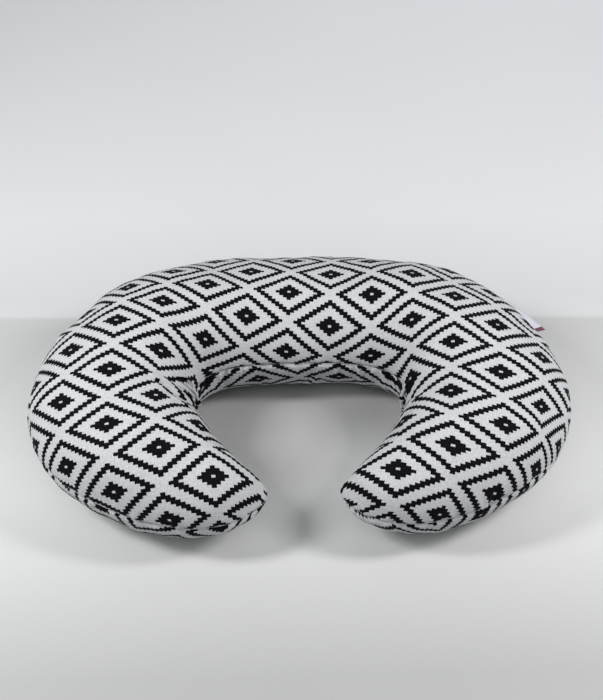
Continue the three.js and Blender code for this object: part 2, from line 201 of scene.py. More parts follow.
def at(d):
    u = np.clip(np.asarray(d, float) / STEP, 0, 16 - 1e-9)
    k = np.floor(u).astype(int)
    t = (u - k)[..., None]
    a, b, ma, mb = EXT[k], EXT[k + 1], SLOPES[k], SLOPES[k + 1]
    t2, t3 = t * t, t * t * t
    v = (2 * t3 - 3 * t2 + 1) * a + (t3 - 2 * t2 + t) * ma + (-2 * t3 + 3 * t2) * b + (t3 - t2) * mb
    dv = ((6 * t2 - 6 * t) * a + (3 * t2 - 4 * t + 1) * ma + (-6 * t2 + 6 * t) * b + (3 * t2 - 2 * t) * mb) / STEP
    return v, dv


def section(s):
    s = np.asarray(s, float)
    right = s > HALF
    d = np.where(right, LENGTH - s, s)
    v, dv = at(d)
    l = np.hypot(dv[..., 0], dv[..., 1])
    tx, ty = dv[..., 0] / l, dv[..., 1] / l
    sx = np.where(right, -1.0, 1.0)
    return dict(d=d, x=sx * v[..., 0], y=v[..., 1] + Y_SHIFT, nx=sx * -ty, ny=tx,
                wo=v[..., 2], wi=v[..., 3], ht=v[..., 4], zo=v[..., 5], zi=v[..., 6])


def centre_line_at_arc(arc):
    a, b = HALF, HALF + 200.0
    target = ZIP_R * math.sin(arc / ZIP_R)
    for _ in range(50):
        m = (a + b) / 2
        c = section(m)
        if c["x"] + c["nx"] * c["wo"] < target:
            a = m
        else:
            b = m
    return (a + b) / 2 - HALF


ZIP_WINDOW = centre_line_at_arc(WINDOW_ARC)


def zip_zone(s, margin=0.0):
    return 1 - smooth(ZIP_WINDOW - 5 + margin, ZIP_WINDOW + margin, np.abs(np.asarray(s) - HALF))


def seam_opening(s):
    z = zip_zone(s)
    lab = smooth(LABEL_FROM - 4, LABEL_FROM - 1, s) * (1 - smooth(LABEL_TO + 1, LABEL_TO + 4, s))
    return GAP + (WINDOW_H - GAP) * z + (0.75 - GAP) * lab


def zip_dent(s, n):
    arc = np.abs(np.asarray(s) - HALF)
    return 2.4 * (1 - smooth(ZIP_WINDOW + 4, ZIP_WINDOW + 24, arc)) * smooth(0.55, 0.85, n)


def skin(s, n, inset, upper, gap_on=True, dent=False):
    """Points for s and n arrays of one shape."""
    s, n = np.asarray(s, float), np.asarray(n, float)
    c = section(s)
    extra = zip_dent(s, n) if dent else 0.0
    q = np.clip((c["d"] - inset) / (CAP - inset), 0, 1)
    cap = np.maximum(0, 1 - (1 - q) ** CAP_POWER) ** (1 / CAP_POWER)
    w = np.where(n > 0, (c["wo"] - inset - extra) * cap * n, (c["wi"] - inset) * cap * n)
    zs = (c["zi"] + c["zo"]) / 2 + (c["zo"] - c["zi"]) / 2 * n * cap
    prof = np.maximum(0, 1 - np.abs(n) ** SECTION_POWER) ** (1 / SECTION_POWER)
    g = 0.0
    if gap_on:
        g = GAP + (seam_opening(s) - GAP) * smooth(0.5, 1, n)
    elif dent:
        g = GAP
    if upper:
        z = zs + g + np.maximum(0, (c["ht"] - inset) * cap - g) * prof
    else:
        z = np.maximum(inset, zs - g - np.maximum(0, (zs * UNDER - inset) * cap - g) * prof)
    return np.stack([c["x"] + c["nx"] * w, c["y"] + c["ny"] * w, z], -1)


# ------------------------------------------------------------------ the print's lattice on the cloth
PRINT_A, PRINT_B = 43.4613, 29.6806
PRINT_U0, PRINT_V0, PRINT_PHI = 30.5893, 21.4313, -0.0893
PRINT_KF, PRINT_CO = 0.9168, 0.95
_fs = np.linspace(0, LENGTH, 1801)
_fc = section(_fs)
_ang = np.unwrap(np.arctan2(-_fc["nx"], _fc["ny"]))
_ang = (_ang - _ang[900]) * PRINT_CO
_tf = np.stack([np.cos(_ang), np.sin(_ang)], 1)
_cf = np.vstack([[0, 0], np.cumsum((_tf[1:] + _tf[:-1]) / 2 * (_fs[1] - _fs[0]), 0)])
_cf = _cf - _cf[900] + np.array([0.0, 67.9])


def flat_cloth(s, m):
    """Flat position on the cloth of a point at s, with m the distance across from the middle line."""
    cx, cy = np.interp(s, _fs, _cf[:, 0]), np.interp(s, _fs, _cf[:, 1])
    a = np.interp(s, _fs, _ang)
    return cx - np.sin(a) * m * PRINT_KF, cy + np.cos(a) * m * PRINT_KF


def lattice(s, m, du=0.0, dv=0.0):
    fx, fy = flat_cloth(s, m)
    c, q = math.cos(PRINT_PHI), math.sin(PRINT_PHI)
    return (c * fx + q * fy - PRINT_U0) / PRINT_A + du, (-q * fx + c * fy - PRINT_V0) / PRINT_B + dv


def cap_rows(count_cap, count_body):
    """Stations along the C, crowded at the tips so that the outline's steps stay even."""
    psi = np.linspace(0, np.pi / 2, count_cap + 1)
    dcap = CAP * (1 - np.cos(psi) ** (2 / CAP_POWER))
    body = np.linspace(CAP, LENGTH - CAP, count_body + 1)
    s = np.concatenate([dcap[:-1], body, (LENGTH - dcap[:-1])[::-1]])
    # evens out the change of spacing between the cap and the body
    for _ in range(6):
        s[3:-3] = (s[2:-4] + 2 * s[3:-3] + s[4:-2]) / 4
    return s


def columns(count, crowd=0.45):
    t = np.linspace(-1, 1, count + 1)
    return np.sin((t + crowd * np.sin(np.pi * t) / np.pi) * np.pi / 2)


def across(P):
    """Distance across each row of a grid of points, from the middle column."""
    d = np.linalg.norm(np.diff(P, axis=1), axis=2)
    arc = np.concatenate([np.zeros((P.shape[0], 1)), np.cumsum(d, 1)], 1)
    mid = P.shape[1] // 2
    return arc - arc[:, mid:mid + 1], arc


# How far the print drifts from its even lattice on the top panel: x, y in mm, then the drift
# in repeats across and along. The cloth is eased round the curve, so the drift is smooth.
DRIFT = np.array([
    [32, 34, 0.009, 0.037], [-10, 69, 0.035, -0.072], [78, 59, -0.003, -0.016], [-14, 20, -0.002, 0.044],
    [77, 13, -0.024, 0.175], [37, 98, 0.029, -0.099], [125, 92, 0.02, -0.153], [-50, 106, 0.036, -0.083],
    [83, 128, 0.052, -0.226], [-4, 130, 0.026, -0.006], [-56, 42, 0.039, -0.016], [117, 26, -0.009, -0.006],
    [-96, 76, 0.037, -0.016], [-135, 108, -0.041, 0.061], [-143, 50, 0.067, -0.027], [-101, 18, 0.036, 0.03],
    [-182, 82, -0.042, 0.027], [-188, 26, 0.049, -0.126], [-142, -9, 0.035, -0.033], [-188, -40, 0.04, 0.058],
    [-233, -4, 0.029, -0.087], [-142, -65, 0.034, -0.025], [-235, -69, 0.058, -0.009], [-185, -100, -0.032, 0.042],
    [-100, -90, 0.025, -0.142], [-134, -126, -0.157, -0.025], [-226, -126, 0.029, 0.024], [-84, -147, -0.276, -0.254],
    [-178, -154, -0.038, 0.041], [-127, -175, -0.133, 0.079], [165, 49, 0.001, 0.083], [205, 12, 0.003, 0.103],
    [155, -10, -0.036, 0.047], [195, -49, -0.027, 0.168], [245, -24, -0.017, 0.054], [113, -26, 0.061, -0.101],
    [147, -70, -0.083, 0.18], [238, -84, -0.117, 0.028], [190, -108, -0.152, 0.071], [139, -130, -0.144, 0.167],
    [179, -159, -0.409, 0.129], [87, -145, -0.067, 0.046], [127, -175, -0.303, 0.141], [228, -132, -0.401, -0.162],
    [249, -108, 0.33, -0.19], [275, -44, -0.005, -0.48], [-263, -91, 0.025, -0.083], [-270, -30, 0.001, -0.237]], float)


def _kernel(a, b):
    r2 = ((a[:, None, :] - b[None, :, :]) ** 2).sum(-1)
    return np.exp(-r2 / (2 * 55.0 ** 2))


_K = _kernel(DRIFT[:, :2], DRIFT[:, :2])
_W = np.linalg.solve(_K + 0.04 * np.eye(len(DRIFT)), DRIFT[:, 2:])


# the cloth is dragged a little further where it bunches at the left inner corner
PULLS = [(-105.0, -3.0, 27.0, -0.115, 0.040)]


def drift(P):
    q = P.reshape(-1, 3)[:, :2]
    out = np.vstack([_kernel(q[i:i + 4000], DRIFT[:, :2]) @ _W for i in range(0, len(q), 4000)])
    for x, y, reach, du, dv in PULLS:
        near = np.exp(-((q[:, 0] - x) ** 2 + (q[:, 1] - y) ** 2) / (2 * reach ** 2))
        out = out + near[:, None] * np.array([du, dv])
    return out.reshape(P.shape[:-1] + (2,))


# ------------------------------------------------------------------ repeatable noise
def waves(seed, count, low, high):
    """Random sine waves: wave numbers and phases that are the same on every run."""
    g = np.random.RandomState(seed)
    k = 2 * np.pi / np.exp(g.uniform(np.log(low), np.log(high), count))
    return k, g.uniform(0, 2 * np.pi, count), g.uniform(0, 2 * np.pi, count)


def noise2(x, y, seed, low, high, count=9):
    k, direction, phase = waves(seed, count, low, high)
    out = np.zeros(np.broadcast(x, y).shape)
    for a, b, c in zip(k, direction, phase):
        out += np.sin(a * (np.cos(b) * x + np.sin(b) * y) + c)
    return out / math.sqrt(count / 2)


def noise1(s, seed, low, high, count=7):
    k, _, phase = waves(seed, count, low, high)
    return sum(np.sin(a * s + c) for a, c in zip(k, phase)) / math.sqrt(count / 2)


# ------------------------------------------------------------------ folds and puckers
def along_line(x, y, line):
    """Signed distance to a polyline in plan, and the share of the way along it."""
    line = np.asarray(line, float)
    seg = np.diff(line, axis=0)
    ln = np.hypot(seg[:, 0], seg[:, 1])
    start = np.concatenate([[0], np.cumsum(ln)])
    best = np.full(x.shape, 1e9)
    sign = np.ones(x.shape)
    share = np.zeros(x.shape)
    for k in range(len(seg)):
        ux, uy = seg[k] / ln[k]
        dx, dy = x - line[k, 0], y - line[k, 1]
        t = np.clip(dx * ux + dy * uy, 0, ln[k])
        ex, ey = dx - t * ux, dy - t * uy
        d = np.hypot(ex, ey)
        closer = d < best
        best = np.where(closer, d, best)
        sign = np.where(closer, np.sign(ux * ey - uy * ex + 1e-12), sign)
        share = np.where(closer, (start[k] + t) / start[-1], share)
    return best * sign, share


# line in plan, depth of the crease, its half width, bulge beside it (+ left of the line's way)
FOLDS_TOP = [
    ([(-153, -44), (-145, -45.5), (-138.4, -46), (-131, -47), (-123.8, -49.5), (-116.4, -51), (-110, -50)], 5.2, 2.0, 2.2),
    ([(-129, -37), (-122, -39.5), (-116, -41.0), (-109, -42)], 3.4, 1.8, 1.5),
    ([(-134, -53), (-123.4, -55.5), (-114, -57), (-108, -56)], 2.2, 1.8, -0.8),
    ([(-122, -28), (-114, -31), (-107.5, -33)], 2.6, 1.8, 1.0),
    ([(-126, -66), (-116, -66), (-108, -63)], 1.1, 2.2, 0.4),
    ([(127, -51.5), (121, -52.8), (114, -50.5), (109.5, -46)], 1.5, 1.9, 0.6),
    ([(122, -33), (115, -34), (108, -34)], 0.9, 1.8, -0.4),
    ([(121, -67), (113.3, -65.6), (106, -62)], 1.0, 2.0, 0.4),
    ([(112, -12), (106, -14), (101, -15)], 1.3, 1.7, 0.5),
    ([(166.9, 4), (170.3, -7.2), (174.5, -19)], 0.55, 3.5, 0.3),
    ([(-128, -168), (-126, -176)], 0.9, 1.8, 0.4),
    ([(-118, -170), (-117, -178)], 0.9, 1.6, -0.4)]
FOLDS_BOTTOM = [
    ([(-118, -36), (-112, -38), (-106, -38)], 2.6, 2.4, 1.0),
    ([(120, -40), (113, -42), (107, -42)], 2.4, 2.4, 1.0),
    ([(-40, 31), (-37, 24), (-36, 18)], 1.5, 2.6, 0.7),
    ([(8, 30), (13, 24), (15, 18)], 1.9, 3.0, 1.0),
    ([(30, 30), (24, 25), (22, 18)], 1.6, 2.6, -0.8),
    ([(66, 24), (60, 18), (58, 12)], 1.5, 2.6, 0.7),
    ([(-84, 14), (-78, 10), (-73, 5)], 1.7, 2.6, 0.8)]


def relief(S, N, P, upper, edge):
    """Height of the cloth's own relief over the smooth surface, in mm; edge is the distance to the nearer seam."""
    x, y = P[..., 0], P[..., 1]
    seed = 11 if upper else 47
    body = smooth(6, 40, edge)
    h = 0.75 * noise2(x, y, seed, 70, 150) * body + 0.28 * noise2(x, y, seed + 1, 26, 55) * smooth(3, 20, edge)
    h = h + 0.10 * noise2(x, y, seed + 2, 9, 18, 14)
    # creases
    for line, depth, half, bulge in (FOLDS_TOP if upper else FOLDS_BOTTOM):
        d, share = along_line(x, y, line)
        d = d + 0.5 * noise2(x, y, seed + 5, 12, 30)
        taper = np.sin(np.pi * np.clip(0.06 + 0.9 * share, 0, 1)) ** 0.7
        h = h - depth * taper * np.exp(-(d / half) ** 2)
        h = h + abs(bulge) * taper * np.exp(-((d - math.copysign(2.6 * half, bulge)) / (1.9 * half)) ** 2)
    # gathers along the seam: small ripples that run into it
    zone = zip_zone(S, 6) * (N > 0)
    lam = 1 - 0.75 * zone
    tip = 1 - smooth(60, 170, np.minimum(S, LENGTH - S))
    inner_back = (N < 0) * (1 - smooth(150, 230, np.abs(S - HALF)))
    inner_corner = (N < 0) * (smooth(150, 215, np.abs(S - HALF)) * (1 - smooth(300, 350, np.abs(S - HALF))))
    side = np.where(N > 0, S * 1.32, S * 0.78)
    env = 0.5 + 0.5 * noise1(side, seed + 7, 60, 140) ** 2
    amp = (0.34 + 0.42 * tip + 0.34 * inner_back * (0.6 if upper else 1.6) + (0.42 if upper else 0.3) * inner_corner * np.where(S > HALF, 0.5, 1.0)) * env * lam
    rip = noise1(side + 0.35 * edge * np.sign(noise1(side, seed + 8, 40, 90)), seed + 9, 7.5, 17, 10)
    h = h + amp * rip * np.exp(-edge / 10.5) * (1 - 0.6 * np.exp(-edge / 1.8))
    # longer drag lines from the seam
    h = h + 0.45 * (0.4 + inner_corner + 0.5 * tip) * lam * noise1(side, seed + 12, 20, 46, 8) * np.exp(-edge / 24) * (1 - np.exp(-edge / 6))
    # the cloth turns in at the seam
    h = h - (1.75 - 1.25 * zone) * np.exp(-(edge / (2.7 + 0.5 * noise1(side, seed + 14, 12, 40))) ** 2)
    return h


def unit(v):
    return v / np.maximum(np.linalg.norm(v, axis=-1, keepdims=True), 1e-9)


def grid_normals(P, S, N):
    """Outward normals of a grid of points, from the smooth surface."""
    a = np.gradient(P, axis=0)
    b = np.gradient(P, axis=1)
    n = np.cross(b, a)
    bad = np.linalg.norm(n, axis=2) < 1e-9
    n = unit(n)
    mid = P.mean(axis=(0, 1))
    up = n[n.shape[0] // 2, n.shape[1] // 2, 2]
    return n, bad


def sides(N):
    return np.sign(N)


def cover_points(upper, S, N, base=0.0, with_relief=True, gap_on=True, dent=False):
    P = skin(S, N, base, upper, gap_on=gap_on, dent=dent)
    nrm, _ = grid_normals(P, S, N)
    if (nrm[P.shape[0] // 2, P.shape[1] // 2, 2] > 0) != upper:
        nrm = -nrm
    # at the tips and on the seam, the normal is level and points out in plan
    c = section(S)
    out = np.stack([c["nx"] * np.sign(N), c["ny"] * np.sign(N), np.zeros_like(S)], -1)
    tip_dir = np.stack([c["ny"] * np.where(S > HALF, -1, 1) * -1, -c["nx"] * np.where(S > HALF, -1, 1) * -1, np.zeros_like(S)], -1)
    nrm[0], nrm[-1] = nrm[1], nrm[-2]
    flat = smooth(0.97, 1.0, np.abs(N))[..., None]
    level = unit(nrm * np.array([1, 1, 0.0]) + 1e-6 * out)
    nrm = unit(nrm * (1 - flat) + level * flat)
    nrm[0] = unit(np.broadcast_to(level[1].mean(axis=0), level[1].shape))
    nrm[-1] = unit(np.broadcast_to(level[-2].mean(axis=0), level[-2].shape))
    return P, nrm


def weld_ids(rows, cols):
    """Vertex numbers of a grid whose first and last rows are single points."""
    ids = np.zeros((rows + 1, cols + 1), int)
    ids[0] = 0
    ids[1:rows] = 1 + np.arange((rows - 1) * (cols + 1)).reshape(rows - 1, cols + 1)
    ids[rows] = 1 + (rows - 1) * (cols + 1)
    return ids


def weld_points(P):
    rows, cols = P.shape[0] - 1, P.shape[1] - 1
    return np.vstack([P[0, :1], P[1:rows].reshape(-1, 3), P[rows, :1]])


def grid_faces(ids, flip):
    faces, where = [], []
    rows, cols = ids.shape[0] - 1, ids.shape[1] - 1
    for i in range(rows):
        for j in range(cols):
            f = [ids[i, j], ids[i + 1, j], ids[i + 1, j + 1], ids[i, j + 1]]
            w = [(i, j), (i + 1, j), (i + 1, j + 1), (i, j + 1)]
            keep = [k for k in range(4) if f[k] != f[k - 1]]
            f, w = [f[k] for k in keep], [w[k] for k in keep]
            if flip:
                f, w = f[::-1], w[::-1]
            faces.append(f)
            where.append(w)
    return faces, where


def new_mesh(name, verts, faces, smooth_shade=True):
    me = bpy.data.meshes.new(name)
    me.from_pydata((np.asarray(verts, float) * MM).tolist(), [], faces)
    me.validate(clean_customdata=False)
    if smooth_shade:
        me.polygons.foreach_set("use_smooth", [True] * len(me.polygons))
    ob = bpy.data.objects.new(name, me)
    bpy.context.scene.collection.objects.link(ob)
    return ob


def fabric_shell(name, upper, thickness, rows, cols, base=0.0, gap_on=True, dent=False, relief_on=True, extra=None, prints=True):
    """A closed skin of cloth: a fine outer face, a coarser inner face and the cut edge along the seam."""
    s = cap_rows(*rows)
    n = columns(cols)
    S, N = np.meshgrid(s, n, indexing="ij")
    P, nrm = cover_points(upper, S, N, base, gap_on=gap_on, dent=dent)
    m, arc = across(P)
    edge = np.minimum(arc, arc[:, -1:] - arc)
    edge = np.where(edge < 1e-6, 0.0, edge)
    dtip = np.minimum(S, LENGTH - S)
    h = relief(S, N, P, upper, edge) + gathers(s, n, upper) if relief_on else np.zeros_like(S)
    h = h * smooth(-1, 12, dtip) if relief_on else h
    if extra is not None:
        Q = P + extra(S, N, P)
    else:
        Q = P
    Q = Q + nrm * h[..., None]
    floor_z = 0.15 + base
    Q[..., 2] = np.maximum(Q[..., 2], floor_z)
    if upper:
        # the two panels never cross at the seam
        Q[:, 0, 2], Q[:, -1, 2] = P[:, 0, 2], P[:, -1, 2]
    else:
        Q[:, 0, 2], Q[:, -1, 2] = P[:, 0, 2], P[:, -1, 2]
    R, C = S.shape[0] - 1, S.shape[1] - 1
    assert R % 2 == 0 and C % 2 == 0
    inner = (Q - nrm * thickness)[::2, ::2]
    inner[..., 2] = np.maximum(inner[..., 2], floor_z + thickness) if not upper else inner[..., 2]
    ids = weld_ids(R, C)
    V1 = weld_points(Q)
    iid = weld_ids(R // 2, C // 2) + len(V1)
    V2 = weld_points(inner)
    flip = not upper
    f1, w1 = grid_faces(ids, flip)
    f2, w2 = grid_faces(iid, not flip)
    f3, w3 = [], []
    for side, j, jj in ((0, 0, 0), (1, C, C // 2)):
        for I in range(R // 2):
            loop = [(0, 2 * I, j), (0, 2 * I + 1, j), (0, 2 * I + 2, j), (1, I + 1, jj), (1, I, jj)]
            f = [ids[a, b] if k == 0 else iid[a, b] for k, a, b in loop]
            w = [(2 * a, 2 * b) if k else (a, b) for k, a, b in loop]
            keep = [k for k in range(len(f)) if f[k] != f[k - 1]]
            f, w = [f[k] for k in keep], [w[k] for k in keep]
            if (side == 0) != flip:
                f, w = f[::-1], w[::-1]
            f3.append(f)
            w3.append(w)
    ob = new_mesh(name, np.vstack([V1, V2]), f1 + f2 + f3)
    me = ob.data
    # the print's place on the cloth, and a flat layout of the panel for its own maps
    if prints:
        if upper:
            dr = drift(P)
            du, dv = dr[..., 0], dr[..., 1]
            U, W = lattice(S, m)
            U, W = U + du, W + dv
        else:
            U, W = lattice(S, m, -0.306, 0.0)
            W = W + 1.057 - 0.101 * (U + 1.0)
    else:
        U, W = S / PRINT_A, m / PRINT_B
    share = np.where(arc[:, -1:] > 1e-6, arc / np.maximum(arc[:, -1:], 1e-6), 0.5)
    fu, fv, bu, bv = [], [], [], []
    for kind, group in ((0, w1), (1, w2), (2, w3)):
        for w in group:
            idx = [(a, b) if kind != 1 else (2 * a, 2 * b) for a, b in w]
            left = sum(s[a] for a, b in idx) / len(idx) < HALF
            mid_b = sum(b for a, b in idx) / len(idx)
            for a, b in idx:
                aa = a
                fu.append(U[a, b]); fv.append(W[a, b])
                sh = share[a, b] if 0 < a < R else mid_b / C
                ss = s[a] / HALF if left else (LENGTH - s[a]) / HALF
                ss = min(max(ss, 0), 1)
                bu.append(0.01 + 0.98 * ss)
                if kind == 0:
                    bv.append((0.01 if left else 0.47) + 0.45 * sh)
                elif kind == 1:
                    bv.append((0.93 if left else 0.962) + 0.028 * sh)
                else:
                    bv.append(0.993 + (0.005 if b else 0.0))
    def put(layer, u, v):
        lay = me.uv_layers.new(name=layer)
        lay.data.foreach_set("uv", np.stack([u, v], 1).astype(np.float32).ravel())
    put("fabric", np.array(fu), np.array(fv))
    put("OFBake", np.array(bu), np.array(bv))
    ob["seam_length_mm"] = float(np.linalg.norm(np.diff(Q[:, -1], axis=0), axis=1).sum())
    return ob, dict(S=S, N=N, P=P, Q=Q, nrm=nrm, edge=edge, s=s, n=n)


# ------------------------------------------------------------------ materials
class Net:
    def __init__(self, name):
        self.mat = bpy.data.materials.new(name)
        self.mat.use_nodes = True
        self.t = self.mat.node_tree
        self.t.nodes.clear()
        self.out = self.t.nodes.new("ShaderNodeOutputMaterial")
        self.b = self.t.nodes.new("ShaderNodeBsdfPrincipled")
        self.t.links.new(self.b.outputs[0], self.out.inputs[0])

    def put(self, socket, value):
        if isinstance(value, bpy.types.NodeSocket):
            self.t.links.new(value, socket)
        elif isinstance(value, (tuple, list)) and len(value) == 3 and socket.type == "RGBA":
            socket.default_value = (*value, 1.0)
        else:
            socket.default_value = value

    def math(self, op, a, b=None, c=None, clamp=False):
        n = self.t.nodes.new("ShaderNodeMath")
        n.operation = op
        n.use_clamp = clamp
        for k, v in enumerate((a, b, c)):
            if v is not None:
                self.put(n.inputs[k], v)
        return n.outputs[0]

    def uv(self, name):
        n = self.t.nodes.new("ShaderNodeUVMap")
        n.uv_map = name
        s = self.t.nodes.new("ShaderNodeSeparateXYZ")
        self.t.links.new(n.outputs[0], s.inputs[0])
        return n.outputs[0], s.outputs[0], s.outputs[1]

    def position(self):
        n = self.t.nodes.new("ShaderNodeTexCoord")
        s = self.t.nodes.new("ShaderNodeSeparateXYZ")
        self.t.links.new(n.outputs["Object"], s.inputs[0])
        return n.outputs["Object"], s.outputs[0], s.outputs[1], s.outputs[2]

    def combine(self, x, y, z=0.0):
        n = self.t.nodes.new("ShaderNodeCombineXYZ")
        for k, v in enumerate((x, y, z)):
            self.put(n.inputs[k], v)
        return n.outputs[0]

    def noise(self, vec, scale, detail=2.0, rough=0.5, distortion=0.0):
        n = self.t.nodes.new("ShaderNodeTexNoise")
        self.put(n.inputs["Vector"], vec)
        n.inputs["Scale"].default_value = scale
        n.inputs["Detail"].default_value = detail
        n.inputs["Roughness"].default_value = rough
        n.inputs["Distortion"].default_value = distortion
        return n.outputs[0]

    def voronoi(self, vec, scale, feature="F1"):
        n = self.t.nodes.new("ShaderNodeTexVoronoi")
        n.feature = feature
        self.put(n.inputs["Vector"], vec)
        n.inputs["Scale"].default_value = scale
        return n.outputs[0]

    def mix(self, factor, a, b, blend="MIX"):
        n = self.t.nodes.new("ShaderNodeMix")
        n.data_type = "RGBA"
        n.blend_type = blend
        self.put(n.inputs[0], factor)
        self.put(n.inputs[6], a)
        self.put(n.inputs[7], b)
        return n.outputs[2]

    def remap(self, v, a, b, c, d):
        n = self.t.nodes.new("ShaderNodeMapRange")
        self.put(n.inputs[0], v)
        for k, x in enumerate((a, b, c, d)):
            n.inputs[k + 1].default_value = x
        return n.outputs[0]

    def bump(self, height, strength, distance, normal=None):
        n = self.t.nodes.new("ShaderNodeBump")
        n.inputs["Strength"].default_value = strength
        n.inputs["Distance"].default_value = distance
        self.put(n.inputs["Height"], height)
        if normal is not None:
            self.put(n.inputs["Normal"], normal)
        return n.outputs[0]

    def sine(self, v, period_scale, shift=0.0):
        """0..1 sine of v times the scale."""
        a = self.math("MULTIPLY_ADD", v, 2 * math.pi * period_scale, shift)
        return self.math("MULTIPLY_ADD", self.math("SINE", a), 0.5, 0.5)

    def set(self, **values):
        for k, v in values.items():
            self.put(self.b.inputs[k.replace("_", " ")], v)
        return self

    def knit(self, xm, ym):
        """Height of fine jersey stitches: wales along y, 1.05 mm apart, with slanted legs."""
        fx = self.math("FRACT", self.math("DIVIDE", xm, 1.05))
        tri = self.math("ABSOLUTE", self.math("MULTIPLY_ADD", fx, 2.0, -1.0))
        wave = self.math("SINE", self.math("MULTIPLY", self.math("MULTIPLY_ADD", tri, 0.42, self.math("DIVIDE", ym, 0.82)), 2 * math.pi))
        dome = self.math("SUBTRACT", 1.0, self.math("POWER", tri, 2.2))
        return self.math("MULTIPLY_ADD", wave, 0.22, self.math("MULTIPLY", dome, 0.75))


def printed_cotton():
    m = Net("printed_cotton")
    vec, u, v = m.uv("fabric")
    mmv = m.combine(m.math("MULTIPLY", u, PRINT_A), m.math("MULTIPLY", v, PRINT_B))
    # the print's edges wander a little on the knit, and the ink spreads past each step
    j1 = m.math("MULTIPLY_ADD", m.noise(mmv, 0.9, 2.0), 0.34, 0.33)
    j2 = m.math("MULTIPLY_ADD", m.noise(m.combine(m.math("MULTIPLY", v, PRINT_B), m.math("MULTIPLY", u, PRINT_A), 7.0), 0.9, 2.0), 0.34, 0.33)
    ux = m.math("ADD", m.math("MULTIPLY", u, 11.0), j1)
    vy = m.math("ADD", m.math("MULTIPLY", v, 12.0), j2)
    spread_u, spread_v = 0.075, 0.105
    px = [m.math("PINGPONG", m.math("FLOOR", m.math("ADD", ux, e)), 11.0) for e in (-spread_u, spread_u)]
    py = [m.math("PINGPONG", m.math("FLOOR", m.math("ADD", vy, e)), 12.0) for e in (-spread_v, spread_v)]
    black = None
    for a in px:
        for b in py:
            d1 = m.math("ADD", a, b)
            d = m.math("MINIMUM", d1, m.math("SUBTRACT", 23.0, d1))
            hit = m.math("MAXIMUM", m.math("COMPARE", d, 2.0, 1.25), m.math("COMPARE", d, 8.5, 0.75))
            black = hit if black is None else m.math("MAXIMUM", black, hit)
    xm, ym = m.math("MULTIPLY", u, PRINT_A), m.math("MULTIPLY", v, PRINT_B)
    knit = m.knit(xm, ym)
    fleck = m.noise(mmv, 2.6, 3.0, 0.65)
    broad = m.noise(mmv, 0.035, 3.0, 0.6)
    streak = m.noise(m.combine(m.math("MULTIPLY", u, PRINT_A * 1.6), m.math("MULTIPLY", v, PRINT_B * 0.16)), 1.0, 2.0, 0.6)
    tone = m.math("ADD", m.math("MULTIPLY_ADD", knit, 0.14, 0.885), m.math("MULTIPLY_ADD", streak, 0.26, -0.13))
    tone = m.math("ADD", tone, m.math("MULTIPLY_ADD", broad, 0.05, -0.025))
    tone = m.math("ADD", tone, m.math("MULTIPLY_ADD", m.noise(mmv, 0.62, 2.0, 0.6), 0.80, -0.40))
    white = m.mix(1.0, (0.510, 0.514, 0.529), m.combine(tone, tone, tone), "MULTIPLY")
    ink = m.mix(m.remap(fleck, 0.45, 0.80, 0.0, 0.022), (0.0020, 0.0020, 0.0034), (0.25, 0.25, 0.28))
    ink = m.mix(m.math("MULTIPLY", knit, 0.005), ink, (0.25, 0.25, 0.28))
    m.set(Base_Color=m.mix(black, white, ink))
    m.set(Roughness=m.math("MULTIPLY_ADD", fleck, 0.14, 0.76))
    m.set(Sheen_Weight=0.012, Sheen_Roughness=0.4, Specular_IOR_Level=0.06)
    hair = m.noise(mmv, 1.1, 4.0, 0.7)
    height = m.math("MULTIPLY_ADD", hair, 0.35, knit)
    m.set(Normal=m.bump(height, 0.55, 0.00022))
    return m.mat


def cover_inside():
    m = Net("cover_inside")
    vec, u, v = m.uv("fabric")
    xm, ym = m.math("MULTIPLY", u, PRINT_A), m.math("MULTIPLY", v, PRINT_B)
    knit = m.knit(xm, ym)
    tone = m.math("MULTIPLY_ADD", knit, 0.12, 0.85)
    m.set(Base_Color=m.mix(1.0, (0.72, 0.73, 0.75), m.combine(tone, tone, tone), "MULTIPLY"), Roughness=0.9)
    m.set(Normal=m.bump(knit, 0.5, 0.0002))
    return m.mat


def plain_weave(name, colour, thread, scale=0.45, sheen=0.1, rough=0.85):
    """Plain woven cloth over object coordinates, thread in metres."""
    m = Net(name)
    pos, x, y, z = m.position()
    k = 1.0 / thread
    a = m.sine(x, k)
    b = m.sine(m.math("ADD", y, z), k)
    over = m.math("MULTIPLY", a, b)
    under = m.math("MULTIPLY", m.math("SUBTRACT", 1.0, a), m.math("SUBTRACT", 1.0, b))
    h = m.math("ADD", over, under)
    n = m.noise(pos, 900.0, 3.0, 0.6)
    big = m.noise(pos, 22.0, 3.0, 0.6)
    tone = m.math("ADD", m.math("MULTIPLY_ADD", h, 0.14, 0.84), m.math("MULTIPLY_ADD", big, 0.08, -0.04))
    m.set(Base_Color=m.mix(1.0, colour, m.combine(tone, tone, tone), "MULTIPLY"))
    m.set(Roughness=m.math("MULTIPLY_ADD", n, 0.12, rough - 0.06), Sheen_Weight=sheen, Specular_IOR_Level=0.3)
    m.set(Normal=m.bump(m.math("MULTIPLY_ADD", n, 0.3, h), scale, 0.00015))
    return m.mat


def fibre():
    m = Net("polyester_fibre")
    pos, x, y, z = m.position()
    f1 = m.noise(pos, 60.0, 6.0, 0.75, 2.5)
    f2 = m.noise(pos, 420.0, 4.0, 0.8, 1.5)
    tone = m.math("MULTIPLY_ADD", f2, 0.25, 0.78)
    m.set(Base_Color=m.mix(1.0, (0.86, 0.86, 0.86), m.combine(tone, tone, tone), "MULTIPLY"), Roughness=0.95)
    m.set(Sheen_Weight=0.35, Sheen_Roughness=0.4)
    m.set(Normal=m.bump(m.math("MULTIPLY_ADD", f1, 1.5, f2), 0.8, 0.0012))
    return m.mat


